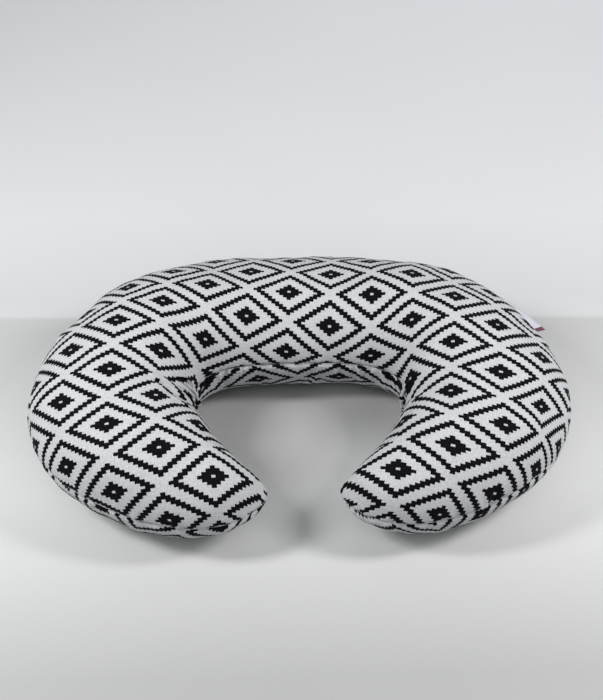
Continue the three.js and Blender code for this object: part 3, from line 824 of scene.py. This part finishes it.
def tape_weave():
    """Herringbone tape; the weave runs along the zip, read from the piece's own layout in mm."""
    m = Net("zip_tape")
    vec, u, v = m.uv("cloth")
    zig = m.math("PINGPONG", v, 2.0)
    h = m.sine(m.math("ADD", u, zig), 1 / 0.62)
    fine = m.sine(v, 1 / 0.4)
    tone = m.math("MULTIPLY_ADD", h, 0.10, m.math("MULTIPLY_ADD", fine, 0.05, 0.83))
    m.set(Base_Color=m.mix(1.0, (0.74, 0.745, 0.76), m.combine(tone, tone, tone), "MULTIPLY"), Roughness=m.math("MULTIPLY_ADD", h, -0.1, 0.85))
    m.set(Sheen_Weight=0.1)
    m.set(Normal=m.bump(m.math("MULTIPLY_ADD", fine, 0.4, h), 0.5, 0.00016))
    return m.mat


def nylon():
    m = Net("zip_nylon")
    pos, x, y, z = m.position()
    n = m.noise(pos, 600.0, 2.0)
    m.set(Base_Color=m.mix(n, (0.74, 0.745, 0.75), (0.82, 0.82, 0.83)), Roughness=m.math("MULTIPLY_ADD", n, 0.15, 0.28))
    m.set(Specular_IOR_Level=0.5, Subsurface_Weight=0.0)
    m.set(Normal=m.bump(m.noise(pos, 2500.0, 2.0), 0.15, 0.0001))
    return m.mat


def thread_mat():
    m = Net("sewing_thread")
    pos, x, y, z = m.position()
    twist = m.sine(m.math("ADD", m.math("MULTIPLY", x, 1.0), m.math("MULTIPLY_ADD", y, 0.8, z)), 1 / 0.0007)
    m.set(Base_Color=m.mix(twist, (0.55, 0.555, 0.57), (0.78, 0.785, 0.80)), Roughness=m.math("MULTIPLY_ADD", twist, 0.15, 0.5))
    m.set(Sheen_Weight=0.2)
    m.set(Normal=m.bump(twist, 0.6, 0.00012))
    return m.mat


def brushed_metal():
    m = Net("zip_metal")
    pos, x, y, z = m.position()
    s = m.noise(m.combine(m.math("MULTIPLY", x, 90.0), m.math("MULTIPLY", y, 1500.0), m.math("MULTIPLY", z, 1500.0)), 1.0, 3.0, 0.6)
    worn = m.noise(pos, 350.0, 4.0, 0.65)
    m.set(Base_Color=m.mix(worn, (0.56, 0.57, 0.585), (0.72, 0.72, 0.735)), Metallic=1.0)
    m.set(Roughness=m.math("ADD", m.math("MULTIPLY_ADD", s, 0.14, 0.2), m.math("MULTIPLY", worn, 0.12)))
    m.set(Normal=m.bump(m.math("MULTIPLY_ADD", worn, 0.6, s), 0.18, 0.00008))
    return m.mat


def ribbon():
    """Satin ribbon, blank: fine ribs along it, greyish lavender with a plum end; v runs along, 0 to 1."""
    m = Net("label_ribbon")
    vec, u, v = m.uv("cloth")
    pos, x, y, z = m.position()
    rib = m.sine(v, 1 / 0.55)
    cross = m.sine(u, 1 / 0.4)
    n = m.noise(vec, 0.35, 3.0, 0.6)
    plum = m.math("GREATER_THAN", m.math("ADD", u, m.math("MULTIPLY_ADD", m.noise(vec, 3.0), 0.5, -0.25)), 38.0)
    hem = m.math("MAXIMUM", m.math("LESS_THAN", v, 1.2), m.math("GREATER_THAN", v, 29.4))
    body = m.mix(n, (0.66, 0.65, 0.73), (0.76, 0.755, 0.81))
    body = m.mix(m.math("MULTIPLY", hem, 0.35), body, (0.42, 0.40, 0.52))
    end = m.mix(n, (0.10, 0.018, 0.045), (0.16, 0.03, 0.075))
    tone = m.math("MULTIPLY_ADD", rib, 0.12, m.math("MULTIPLY_ADD", cross, 0.06, 0.86))
    m.set(Base_Color=m.mix(1.0, m.mix(plum, body, end), m.combine(tone, tone, tone), "MULTIPLY"))
    m.set(Roughness=m.math("MULTIPLY_ADD", cross, 0.12, 0.38), Sheen_Weight=0.25)
    m.set(Normal=m.bump(m.math("MULTIPLY_ADD", rib, 0.7, cross), 0.4, 0.00012))
    return m.mat


def satin():
    m = Net("label_satin")
    vec, u, v = m.uv("cloth")
    rib = m.sine(v, 1 / 0.35)
    n = m.noise(vec, 0.3, 3.0)
    m.set(Base_Color=m.mix(n, (0.80, 0.80, 0.80), (0.86, 0.86, 0.85)), Roughness=m.math("MULTIPLY_ADD", rib, 0.12, 0.3), Sheen_Weight=0.2)
    m.set(Normal=m.bump(rib, 0.35, 0.0001))
    return m.mat


MATS = dict(printed=printed_cotton(), inside=cover_inside(), casing=plain_weave("casing_cloth", (0.80, 0.80, 0.79), 0.0007),
            fibre=fibre(), tape=tape_weave(), nylon=nylon(), metal=brushed_metal(), thread=thread_mat(),
            ribbon=ribbon(), satin=satin())

# ------------------------------------------------------------------ the cloth's own gathers, by simulation
def blur(a, times):
    """Repeated 1-2-1 averaging of a grid, with its borders held by reflection."""
    for _ in range(times):
        b = np.pad(a, 1, mode="edge")
        a = (b[:-2, 1:-1] + 2 * b[1:-1, 1:-1] + b[2:, 1:-1]) / 4
        b = np.pad(a, 1, mode="edge")
        a = (b[1:-1, :-2] + 2 * b[1:-1, 1:-1] + b[1:-1, 2:]) / 4
    return a


def simulate_gathers():
    """The two panels as one stuffed bag whose seams are drawn up: its height over the smooth
    surface, with the swelling taken out, as a grid for each panel."""
    s, n = cap_rows(26, 150), columns(36, 0.3)
    S, N = np.meshgrid(s, n, indexing="ij")
    R, C = S.shape[0] - 1, S.shape[1] - 1
    base, norm = {}, {}
    for upper in (True, False):
        base[upper], norm[upper] = cover_points(upper, S, N, 1.0, gap_on=False)
        low = noise2(base[upper][..., 0], base[upper][..., 1], 300 + upper, 14, 40)
        base[upper] = base[upper] + norm[upper] * (0.25 * low)[..., None]
    for j in (0, C):
        base[False][:, j] = base[True][:, j]
    tid = weld_ids(R, C)
    bid = tid.copy()
    first = tid.max() + 1
    bid[1:R, 1:C] = first + np.arange((R - 1) * (C - 1)).reshape(R - 1, C - 1)
    verts = np.vstack([weld_points(base[True]), base[False][1:R, 1:C].reshape(-1, 3)])
    f1, _ = grid_faces(tid, False)
    f2, _ = grid_faces(bid, True)
    ob = new_mesh("gather_study", verts, f1 + f2, False)
    group = ob.vertex_groups.new(name="seam")
    weight = np.zeros(len(verts))
    for ids in (tid, bid):
        for j, w in ((0, 1.0), (C, 1.0), (1, 0.7), (C - 1, 0.7), (2, 0.3), (C - 2, 0.3)):
            weight[ids[:, j]] = np.maximum(weight[ids[:, j]], w)
    for k in np.where(weight > 0)[0]:
        group.add([int(k)], float(weight[k]), "REPLACE")
    mod = ob.modifiers.new("Cloth", "CLOTH")
    st = mod.settings
    st.quality = 6
    st.mass = 0.15
    st.tension_stiffness = 22
    st.compression_stiffness = 22
    st.shear_stiffness = 6
    st.bending_stiffness = 0.03
    st.tension_damping = 8
    st.compression_damping = 8
    st.shear_damping = 6
    st.bending_damping = 0.5
    st.air_damping = 3
    st.use_pressure = True
    st.uniform_pressure_force = 4.0
    st.vertex_group_shrink = "seam"
    st.shrink_min = -0.015
    st.shrink_max = 0.075
    st.effector_weights.gravity = 0.0
    mod.collision_settings.use_collision = False
    mod.collision_settings.use_self_collision = False
    mod.point_cache.frame_start, mod.point_cache.frame_end = 1, 20
    scene = bpy.context.scene
    for f in range(1, 21):
        scene.frame_set(f)
    ev = ob.evaluated_get(bpy.context.evaluated_depsgraph_get())
    co = np.zeros(len(ev.data.vertices) * 3)
    ev.data.vertices.foreach_get("co", co)
    co = co.reshape(-1, 3) / MM
    scene.frame_set(1)
    bpy.data.objects.remove(ob, do_unlink=True)
    out = {}
    for upper, ids in ((True, tid), (False, bid)):
        d = ((co[ids] - base[upper]) * norm[upper]).sum(-1)
        d[0], d[-1] = d[1], d[-2]
        d = d - blur(d, 26)
        out[upper] = 2.6 * np.tanh(d / 2.6)
        print("gathers", "top" if upper else "bottom", "rms %.2f mm, range %.2f to %.2f" % (out[upper].std(), out[upper].min(), out[upper].max()))
    return s, n, out


GATHERS = None if QUICK else simulate_gathers()


def gathers(s, n, upper):
    """The simulated gathers on a finer grid."""
    if GATHERS is None:
        return 0.0
    s0, n0, out = GATHERS
    a = out[upper]
    b = np.stack([np.interp(s, s0, a[:, j]) for j in range(a.shape[1])], 1)
    c = np.stack([np.interp(n, n0, b[i]) for i in range(b.shape[0])], 0)
    return blur(c, 3)


# ------------------------------------------------------------------ the cover
PANEL_ROWS = (56, 288) if QUICK else (84, 512)
PANEL_COLS = 64 if QUICK else 92
panels = {}
for tag, upper in (("top", True), ("bottom", False)):
    ob, info = fabric_shell("cover_%s" % tag, upper, 1.1, PANEL_ROWS, PANEL_COLS)
    ob.data.materials.append(MATS["printed"])
    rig.replaces(ob, "cover_%s_panel" % tag)
    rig.ride(ob, "pillow")
    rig.slot(ob, "printed_cotton")
    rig.padded(ob, 0.85)
    panels[tag] = (ob, info)

# ------------------------------------------------------------------ casing and filling
for tag, upper in (("top", True), ("bottom", False)):
    ob, info = fabric_shell("casing_%s" % tag, upper, 0.8, (20, 120), 36, base=5.15, gap_on=False, dent=True, relief_on=False, prints=False)
    ob.data.materials.append(MATS["casing"])
    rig.replaces(ob, "casing_%s_panel" % tag)
    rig.ride(ob, "pillow")
    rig.slot(ob, "casing_cloth")
    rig.padded(ob, 0.85)


def filling_piece():
    s, n = cap_rows(20, 120), columns(32)
    S, N = np.meshgrid(s, n, indexing="ij")
    R, C = S.shape[0] - 1, S.shape[1] - 1
    grids = []
    for upper in (True, False):
        P, nrm = cover_points(upper, S, N, 7.4, gap_on=False, dent=True)
        m, arc = across(P)
        edge = np.minimum(arc, arc[:, -1:] - arc)
        lump = -0.9 + 0.8 * noise2(P[..., 0], P[..., 1], 91 + upper, 14, 40) * smooth(4, 14, edge)
        grids.append(P + nrm * np.minimum(lump, 0.15)[..., None] * smooth(2, 14, edge)[..., None])
    T, B = grids
    seam = (T + B) / 2
    for j in (0, C):
        T[:, j] = seam[:, j]
    tid = weld_ids(R, C)
    bid = tid.copy()
    nt = tid.max() + 1
    inner = 1 + np.arange((R - 1) * (C - 1)).reshape(R - 1, C - 1) - 1 + nt
    bid[1:R, 1:C] = inner
    verts = np.vstack([weld_points(T), B[1:R, 1:C].reshape(-1, 3)])
    f1, _ = grid_faces(tid, False)
    f2, _ = grid_faces(bid, True)
    ob = new_mesh("fibre_fill", verts, f1 + f2)
    ob.data.materials.append(MATS["fibre"])
    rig.replaces(ob, "fibre_filling")
    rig.ride(ob, "pillow")
    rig.slot(ob, "polyester_fibre")
    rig.padded(ob, 0.85)
    return ob


filling_piece()


# ------------------------------------------------------------------ stitches
def bead_row(name, points, tangents, normals, half_len, half_w, half_h, body, material, slot_name=None):
    """Short rounded stitches, one at each point."""
    verts, faces = [], []
    rings = [(-1.0, 0.0), (-0.72, 0.8), (0.0, 1.0), (0.72, 0.8), (1.0, 0.0)]
    for p, t, nn in zip(points, tangents, normals):
        t = t / np.linalg.norm(t)
        nn = nn - t * (nn @ t)
        nn = nn / np.linalg.norm(nn)
        b = np.cross(t, nn)
        base = len(verts)
        verts.append(p - t * half_len)
        for a, r in rings[1:-1]:
            for k in range(6):
                th = 2 * math.pi * k / 6
                verts.append(p + t * half_len * a + (b * math.cos(th) * half_w + nn * math.sin(th) * half_h) * r)
        verts.append(p + t * half_len)
        last = len(verts) - 1
        for k in range(6):
            k2 = (k + 1) % 6
            faces.append([base, base + 1 + k2, base + 1 + k])
            for q in range(2):
                o = base + 1 + 6 * q
                faces.append([o + k, o + k2, o + 6 + k2, o + 6 + k])
            faces.append([last, base + 13 + k, base + 13 + k2])
    ob = new_mesh(name, verts, faces)
    ob.data.materials.append(material)
    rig.ride(ob, body)
    if slot_name:
        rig.slot(ob, slot_name)
    return ob


def resample(line, step, start=0.0, stop=None):
    seg = np.linalg.norm(np.diff(line, axis=0), axis=1)
    ln = np.concatenate([[0], np.cumsum(seg)])
    stop = ln[-1] if stop is None else stop
    q = np.arange(start, stop, step)
    pts = np.stack([np.interp(q, ln, line[:, k]) for k in range(3)], 1)
    tan = np.gradient(pts, axis=0)
    return pts, tan


def seam_thread():
    top, bot = panels["top"][1], panels["bottom"][1]
    pts, tans, nrms = [], [], []
    for j in (-1, 0):
        T, B, s = top["Q"][:, j], bot["Q"][:, j], top["s"]
        mid = (T + B) / 2
        out = top["nrm"][:, j]
        keep = np.ones(len(s), bool)
        if j == -1:
            keep = (np.abs(s - HALF) > ZIP_WINDOW + 6) & ~((s > LABEL_FROM - 5) & (s < LABEL_TO + 5))
        # runs of kept stations
        k = 0
        while k < len(s):
            if not keep[k]:
                k += 1
                continue
            e = k
            while e + 1 < len(s) and keep[e + 1]:
                e += 1
            if e - k > 4:
                run = mid[k:e + 1]
                p, t = resample(run, 2.7, 1.4)
                o = unit(np.stack([np.interp(np.linspace(0, 1, len(p)), np.linspace(0, 1, e - k + 1), out[k:e + 1, c]) for c in range(3)], 1))
                pts += list(p + o * -0.10)
                tans += list(t)
                nrms += list(o)
            k = e + 1
    return bead_row("seam_stitches", pts, tans, nrms, 1.12, 0.24, 0.22, "pillow", MATS["thread"])


seam_thread()


def zip_topstitch():
    """Rows of stitches that hold the tapes, 3.2 mm from the window's edges."""
    for tag, upper in (("upper", True), ("lower", False)):
        info = panels["top" if upper else "bottom"][1]
        s, Q, edge, nrm = info["s"], info["Q"], info["edge"], info["nrm"]
        line, norms = [], []
        C = Q.shape[1] - 1
        for i in np.where(np.abs(s - HALF) < ZIP_WINDOW + 1)[0]:
            e = edge[i, C // 2:][::-1]
            line.append([np.interp(3.2, e, Q[i, C // 2:, k][::-1]) for k in range(3)])
            norms.append([np.interp(3.2, e, nrm[i, C // 2:, k][::-1]) for k in range(3)])
        line, norms = np.array(line), np.array(norms)
        p, t = resample(line, 2.9, 1.0)
        o = unit(np.stack([np.interp(np.linspace(0, 1, len(p)), np.linspace(0, 1, len(line)), norms[:, c]) for c in range(3)], 1))
        bead_row("zip_topstitch_" + tag, list(p + o * 0.06), list(t), list(o), 1.15, 0.26, 0.24, "pillow", MATS["thread"])


zip_topstitch()


# ------------------------------------------------------------------ the zip
def on_zip(arc, r, h):
    a = np.pi / 2 + np.asarray(arc) / ZIP_R
    R = ZIP_R + r
    return np.stack([R * np.cos(a), ZIP_CY + R * np.sin(a), ZIP_Z + h + 0 * a], -1)


def tape(tag, side):
    """A woven tape with a thicker corded edge by the teeth."""
    rows = 320
    arcs = np.linspace(-160, 160, rows + 1)
    prof = [(0.95, 0.10), (1.25, 0.30), (1.7, 0.34), (2.2, 0.20), (2.8, 0.02), (4.5, 0.0), (7.0, 0.0), (9.6, 0.0), (11.4, 0.0), (12.0, -0.08)]
    inner = [(h, -0.6 - (0.1 if k in (0, len(prof) - 1) else 0.0) * 0) for k, (h, _) in enumerate(prof)]
    loop = [(h, o) for h, o in prof] + [(h, -0.6) for h, _ in prof[::-1]]
    nl = len(loop)
    verts, faces = [], []
    for i, a in enumerate(arcs):
        for h, o in loop:
            tilt = 1.5 * (h - 0.9) / 11.1
            wave = 0.06 * math.sin(a * 0.55 + side) * smooth(3, 11, h)
            verts.append(on_zip(a, -2.8 + o - tilt + wave, side * h))
    for i in range(rows):
        for k in range(nl):
            k2 = (k + 1) % nl
            f = [i * nl + k, i * nl + k2, (i + 1) * nl + k2, (i + 1) * nl + k]
            faces.append(f if side < 0 else f[::-1])
    e0 = list(range(nl))
    e1 = [rows * nl + k for k in range(nl)]
    faces.append(e0[::-1] if side < 0 else e0)
    faces.append(e1 if side < 0 else e1[::-1])
    ob = new_mesh("zip_tape_%s_cloth" % tag, verts, faces)
    me = ob.data
    lay = me.uv_layers.new(name="cloth")
    dist = np.concatenate([[0], np.cumsum([math.hypot(loop[k + 1][0] - loop[k][0], loop[k + 1][1] - loop[k][1]) for k in range(nl - 1)])])
    for li, l in enumerate(me.loops):
        i, k = divmod(l.vertex_index, nl)
        lay.data[li].uv = (arcs[i], dist[k])
    ob.data.materials.append(MATS["tape"])
    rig.replaces(ob, "zip_tape_" + tag)
    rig.ride(ob, "pillow")
    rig.slot(ob, "zip_tape")
    return ob


def coil(tag, side):
    """Nylon coil teeth: one rounded loop each, the two sides a half pitch apart."""
    pitch = 1.5
    count = int(2 * ZIP_HALF / pitch)
    path = [(3.0, -2.55), (1.2, -2.6), (-0.15, -2.45), (-0.55, -2.0), (-0.15, -1.5), (1.2, -1.35), (3.0, -1.4)]
    rad = [0.26, 0.28, 0.33, 0.38, 0.33, 0.28, 0.26]
    lean = [-0.12, -0.08, -0.03, 0.0, 0.03, 0.08, 0.12]
    verts, faces = [], []
    ns = 6
    for i in range(count):
        a = -ZIP_HALF + 0.6 + pitch * (i + (0.5 if side < 0 else 0.0))
        if a > ZIP_HALF - 0.4:
            break
        base = len(verts)
        for q, (h, r) in enumerate(path):
            p0 = path[max(q - 1, 0)]
            p1 = path[min(q + 1, len(path) - 1)]
            th, tr = p1[0] - p0[0], p1[1] - p0[1]
            l = math.hypot(th, tr)
            nh, nr = -tr / l, th / l
            for k in range(ns):
                w = 2 * math.pi * k / ns
                da, dn = math.cos(w) * rad[q], math.sin(w) * rad[q]
                verts.append(on_zip(a + lean[q] + da, r + nr * dn, side * (h + nh * dn)))
        for q in range(len(path) - 1):
            for k in range(ns):
                k2 = (k + 1) % ns
                f = [base + q * ns + k, base + q * ns + k2, base + (q + 1) * ns + k2, base + (q + 1) * ns + k]
                faces.append(f if side > 0 else f[::-1])
        e0 = [base + k for k in range(ns)]
        e1 = [base + (len(path) - 1) * ns + k for k in range(ns)]
        faces.append(e0[::-1] if side > 0 else e0)
        faces.append(e1 if side > 0 else e1[::-1])
    ob = new_mesh("zip_coil_" + tag, verts, faces)
    ob.data.materials.append(MATS["nylon"])
    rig.replaces(ob, "zip_teeth_" + tag)
    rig.ride(ob, "pillow")
    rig.slot(ob, "zip_nylon")
    return ob


for tag, side in (("upper", 1), ("lower", -1)):
    tape(tag, side)
    coil(tag, side)


def refined(node, name, body, width, slot_name, material):
    """The CAD piece with its edges rounded over."""
    src = frame["nodes"][node]
    me = src.data.copy()
    me.name = name
    bm = bmesh.new()
    bm.from_mesh(me)
    bmesh.ops.remove_doubles(bm, verts=bm.verts, dist=1e-6)
    bmesh.ops.dissolve_limit(bm, angle_limit=math.radians(1.0), verts=bm.verts, edges=bm.edges)
    sharp = [e for e in bm.edges if len(e.link_faces) == 2 and e.calc_face_angle() > math.radians(35)]
    bmesh.ops.bevel(bm, geom=sharp, offset=width, offset_type="OFFSET", segments=3, profile=0.6, affect="EDGES", clamp_overlap=True)
    bm.to_mesh(me)
    bm.free()
    me.polygons.foreach_set("use_smooth", [True] * len(me.polygons))
    me.materials.clear()
    me.materials.append(material)
    ob = bpy.data.objects.new(name, me)
    ob.matrix_world = src.matrix_world.copy()
    bpy.context.scene.collection.objects.link(ob)
    try:
        with bpy.context.temp_override(object=ob, active_object=ob, selected_objects=[ob], selected_editable_objects=[ob]):
            bpy.ops.object.shade_smooth_by_angle(angle=math.radians(40))
        for mod in list(ob.modifiers):
            with bpy.context.temp_override(object=ob, active_object=ob):
                bpy.ops.object.modifier_apply(modifier=mod.name)
    except RuntimeError:
        pass
    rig.replaces(ob, node)
    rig.ride(ob, body)
    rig.slot(ob, slot_name)
    return ob


refined("zip_slider", "slider_body", "slider", 0.00022, "zip_metal", MATS["metal"])
refined("zip_pull_tab", "pull_tab_plate", "pull_tab", 0.00022, "zip_metal", MATS["metal"])
for node in ("zip_top_stop_upper", "zip_top_stop_lower", "zip_bottom_stop"):
    refined(node, node + "_crimp", "pillow", 0.00025, "zip_metal", MATS["metal"])


# ------------------------------------------------------------------ labels
def ribbon_piece(name, mid, half, rows, cols, size_u, size_v, body, material, node, slot_name):
    """A thin ribbon: mid(u, v) gives its middle surface in mm, half its half thickness."""
    U, V = np.meshgrid(np.linspace(0, 1, rows + 1), np.linspace(0, 1, cols + 1), indexing="ij")
    M = mid(U, V)
    n = unit(np.cross(np.gradient(M, axis=0), np.gradient(M, axis=1)))
    if n[rows // 2, cols // 2, 2] < 0:
        n = -n
        flip = True
    else:
        flip = False
    layers = [M + n * half, M - n * half]
    verts = np.vstack([l.reshape(-1, 3) for l in layers])
    idx = lambda layer, i, j: layer * (rows + 1) * (cols + 1) + i * (cols + 1) + j
    faces = []
    for i in range(rows):
        for j in range(cols):
            faces.append([idx(0, i, j), idx(0, i + 1, j), idx(0, i + 1, j + 1), idx(0, i, j + 1)])
            faces.append([idx(1, i, j), idx(1, i, j + 1), idx(1, i + 1, j + 1), idx(1, i + 1, j)])
    for i in range(rows):
        faces.append([idx(0, i, 0), idx(1, i, 0), idx(1, i + 1, 0), idx(0, i + 1, 0)])
        faces.append([idx(0, i, cols), idx(0, i + 1, cols), idx(1, i + 1, cols), idx(1, i, cols)])
    for j in range(cols):
        faces.append([idx(0, 0, j), idx(0, 0, j + 1), idx(1, 0, j + 1), idx(1, 0, j)])
        faces.append([idx(0, rows, j), idx(1, rows, j), idx(1, rows, j + 1), idx(0, rows, j + 1)])
    if flip:
        faces = [f[::-1] for f in faces]
    ob = new_mesh(name, verts, faces)
    lay = ob.data.uv_layers.new(name="cloth")
    for li, l in enumerate(ob.data.loops):
        k = l.vertex_index % ((rows + 1) * (cols + 1))
        i, j = divmod(k, cols + 1)
        lay.data[li].uv = (size_u * i / rows, size_v * j / cols)
    ob.data.materials.append(material)
    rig.replaces(ob, node)
    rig.ride(ob, body)
    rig.slot(ob, slot_name)
    return ob


def label_mid(U, V):
    c = section(LABEL_FROM + 1.0 + (LABEL_TO - LABEL_FROM - 2.0) * U)
    lift = smooth(0.12, 0.6, V)
    r = c["wo"] - LABEL_ROOT + (LABEL_REACH + LABEL_ROOT - 1.0 - 1.5 * U) * V
    z = c["zo"] + lift * (6.2 * U * U - (1.2 + 4.2 * U * U) * V + 0.5 * np.sin(2 * np.pi * (0.75 * U + 0.1)) + 0.25 * np.sin(7 * U + 3 * V))
    return np.stack([c["x"] + c["nx"] * r, c["y"] + c["ny"] * r, z], -1)


ribbon_piece("label_ribbon_blank", label_mid, 0.32, 40, 24, 41.0, 30.6, "pillow", MATS["ribbon"], "woven_label", "label_ribbon")


def wash_mid(U, V):
    s = 346.0 + 40.0 * U
    n = np.sin(np.radians(81 - 25 * V))
    return skin(s, n, 3.3 + 0.2 * np.sin(5 * U), False, gap_on=True)


ribbon_piece("wash_label_satin", wash_mid, 0.18, 24, 16, 44.0, 28.0, "pillow", MATS["satin"], "wash_label", "label_satin")


# ------------------------------------------------------------------ floor, light and camera
def floor():
    # a gentle studio sweep: the table, and a lighter surface behind it, with painted light making both lighter to the
    # right and the surface behind brighter and glowing towards the back
    ys = [-3.0, -0.8, 0.0, 0.12, 0.2, 0.6, 1.5, 4.0]
    xs = [-4.0, -1.0, 0.0, 1.0, 4.0]
    verts = [(x, y, 0.0) for y in ys for x in xs]
    nx = len(xs)
    faces = [[j * nx + i, j * nx + i + 1, (j + 1) * nx + i + 1, (j + 1) * nx + i] for j in range(len(ys) - 1) for i in range(nx - 1)]
    me = bpy.data.meshes.new("studio_floor")
    me.from_pydata(verts, [], faces)
    ob = bpy.data.objects.new("studio_floor", me)
    bpy.context.scene.collection.objects.link(ob)
    m = Net("studio_floor")
    pos, x, y, z = m.position()
    n = m.noise(pos, 3.0, 4.0, 0.6)
    back = m.remap(m.math("ADD", y, m.math("MULTIPLY_ADD", x, 0.02, 0.0)), 0.158, 0.166, 0.0, 1.0)
    # painted light: both surfaces are lighter to the right, and the surface behind brightens towards the back
    left = m.remap(x, -0.9, 0.5, 0.0, 1.0)
    near = m.mix(left, (0.566, 0.574, 0.562), (0.584, 0.589, 0.578))
    far = m.mix(m.remap(y, 0.2, 1.0, 0.0, 1.0), m.mix(left, (0.640, 0.650, 0.655), (0.670, 0.675, 0.680)), m.mix(left, (0.90, 0.90, 0.905), (0.97, 0.97, 0.985)))
    base = m.mix(back, near, far)
    # painted light and shade on the table top: darker towards its front edge with a painted pool of light just in front
    # of the pillow, painted shadows under the crook, and painted shade at its back edge behind the pillow; the foot of
    # the surface behind is painted darker as well
    painted_front_falloff = m.remap(y, -0.30, -0.10, 0.70, 1.09)
    painted_back_shade = m.remap(y, -0.06, 0.14, 1.0, 0.77)
    painted_backdrop_foot_shade = m.remap(y, 0.20, 0.36, 0.87, 1.0)

    # a soft round patch of painted shadow, darkest within inner and fading out by outer
    def painted_shadow_spot(cx, cy, squeeze, inner, outer, low):
        dx, dy = m.math("SUBTRACT", x, cx), m.math("MULTIPLY", m.math("SUBTRACT", y, cy), squeeze)
        r = m.math("SQRT", m.math("ADD", m.math("MULTIPLY", dx, dx), m.math("MULTIPLY", dy, dy)))
        t = m.remap(r, inner - 0.02, outer + 0.02, 0.0, 1.0)
        t = m.math("MULTIPLY", m.math("MULTIPLY", t, t), m.math("MULTIPLY_ADD", t, -2.0, 3.0))
        return m.math("MULTIPLY_ADD", t, 1.0 - low, low)

    # painted shadows of the arms on the table inside the crook: a broad one, and a smaller one by the right arm
    painted_crook_shadow = m.math("MULTIPLY", painted_shadow_spot(-0.03, -0.01, 0.85, 0.065, 0.110, 0.61), painted_shadow_spot(0.085, 0.01, 0.8, 0.015, 0.05, 0.62))
    table = m.math("MULTIPLY", m.math("MULTIPLY", painted_front_falloff, painted_back_shade), painted_crook_shadow)
    tone = m.math("MULTIPLY", m.math("MULTIPLY_ADD", n, 0.05, 0.975), m.math("ADD", m.math("MULTIPLY", table, m.math("SUBTRACT", 1.0, back)), m.math("MULTIPLY", painted_backdrop_foot_shade, back)))
    # the surface behind the table glows through emission, more strongly towards the back and to the right: a painted
    # glow
    m.set(Base_Color=m.mix(1.0, base, m.combine(tone, tone, tone), "MULTIPLY"), Roughness=m.math("MULTIPLY_ADD", n, 0.1, 0.5), Specular_IOR_Level=0.3, Emission_Color=(0.95, 0.96, 1.0, 1.0), Emission_Strength=m.math("MULTIPLY", m.remap(y, 0.35, 1.2, 0.0, 1.0), m.remap(x, -0.6, 0.6, 0.04, 0.17)))
    me.materials.append(m.mat)
    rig.stage(ob)


floor()


def area(name, where, target, size, power, colour=(1, 1, 1)):
    d = bpy.data.lights.new(name, "AREA")
    d.shape = "RECTANGLE"
    d.size, d.size_y = size
    d.energy = power
    d.color = colour
    o = bpy.data.objects.new(name, d)
    bpy.context.scene.collection.objects.link(o)
    o.location = where
    o.rotation_mode = "QUATERNION"
    o.rotation_quaternion = (Vector(target) - Vector(where)).to_track_quat("-Z", "Y")
    return o


area("light_over", (0.0, -0.80, 1.40), (0.0, 0.0, 0.0), (1.0, 0.7), 4.2, (1.0, 1.0, 1.0))
area("light_left", (-0.80, -0.16, 0.88), (-0.24, -0.05, 0.0), (0.16, 0.36), 8.7, (1.0, 1.0, 1.0))
area("light_right", (0.80, -0.14, 0.88), (0.24, -0.05, 0.0), (0.16, 0.36), 7.8, (1.0, 0.995, 0.99))
world = bpy.data.worlds.new("studio_world")
bpy.context.scene.world = world
world.use_nodes = True
bg = world.node_tree.nodes["Background"]
bg.inputs[0].default_value = (0.93, 0.96, 1.0, 1.0)
bg.inputs[1].default_value = 0.35

F_PX = 923.827
pitch, yaw, roll = 0.80504, 0.03858, 0.00968
fwd = Vector((math.sin(yaw) * math.cos(pitch), math.cos(yaw) * math.cos(pitch), -math.sin(pitch)))
right = Vector((math.cos(yaw), -math.sin(yaw), 0.0))
up = right.cross(fwd)
r2 = right * math.cos(roll) + up * math.sin(roll)
u2 = up * math.cos(roll) - right * math.sin(roll)
cam_data = bpy.data.cameras.new("camera")
cam_data.sensor_width = 36.0
cam_data.sensor_fit = "AUTO"
cam_data.lens = F_PX / 700.0 * 36.0
cam_data.clip_start, cam_data.clip_end = 0.02, 30.0
cam = bpy.data.objects.new("camera", cam_data)
bpy.context.scene.collection.objects.link(cam)
cam.matrix_world = Matrix(((r2.x, u2.x, -fwd.x, -0.0238713), (r2.y, u2.y, -fwd.y, -0.6597099),
                           (r2.z, u2.z, -fwd.z, 0.7968605), (0, 0, 0, 1)))
bpy.context.scene.camera = cam
bpy.context.scene.view_settings.view_transform = "Standard"
bpy.context.scene.view_settings.look = "None"

# ------------------------------------------------------------------ the object's box before and after
bpy.context.view_layer.update()
vlo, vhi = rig.bounds()
with open("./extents.json", "w") as f:
    json.dump({"cad": cad_box, "visual": [list(vlo), list(vhi)]}, f)
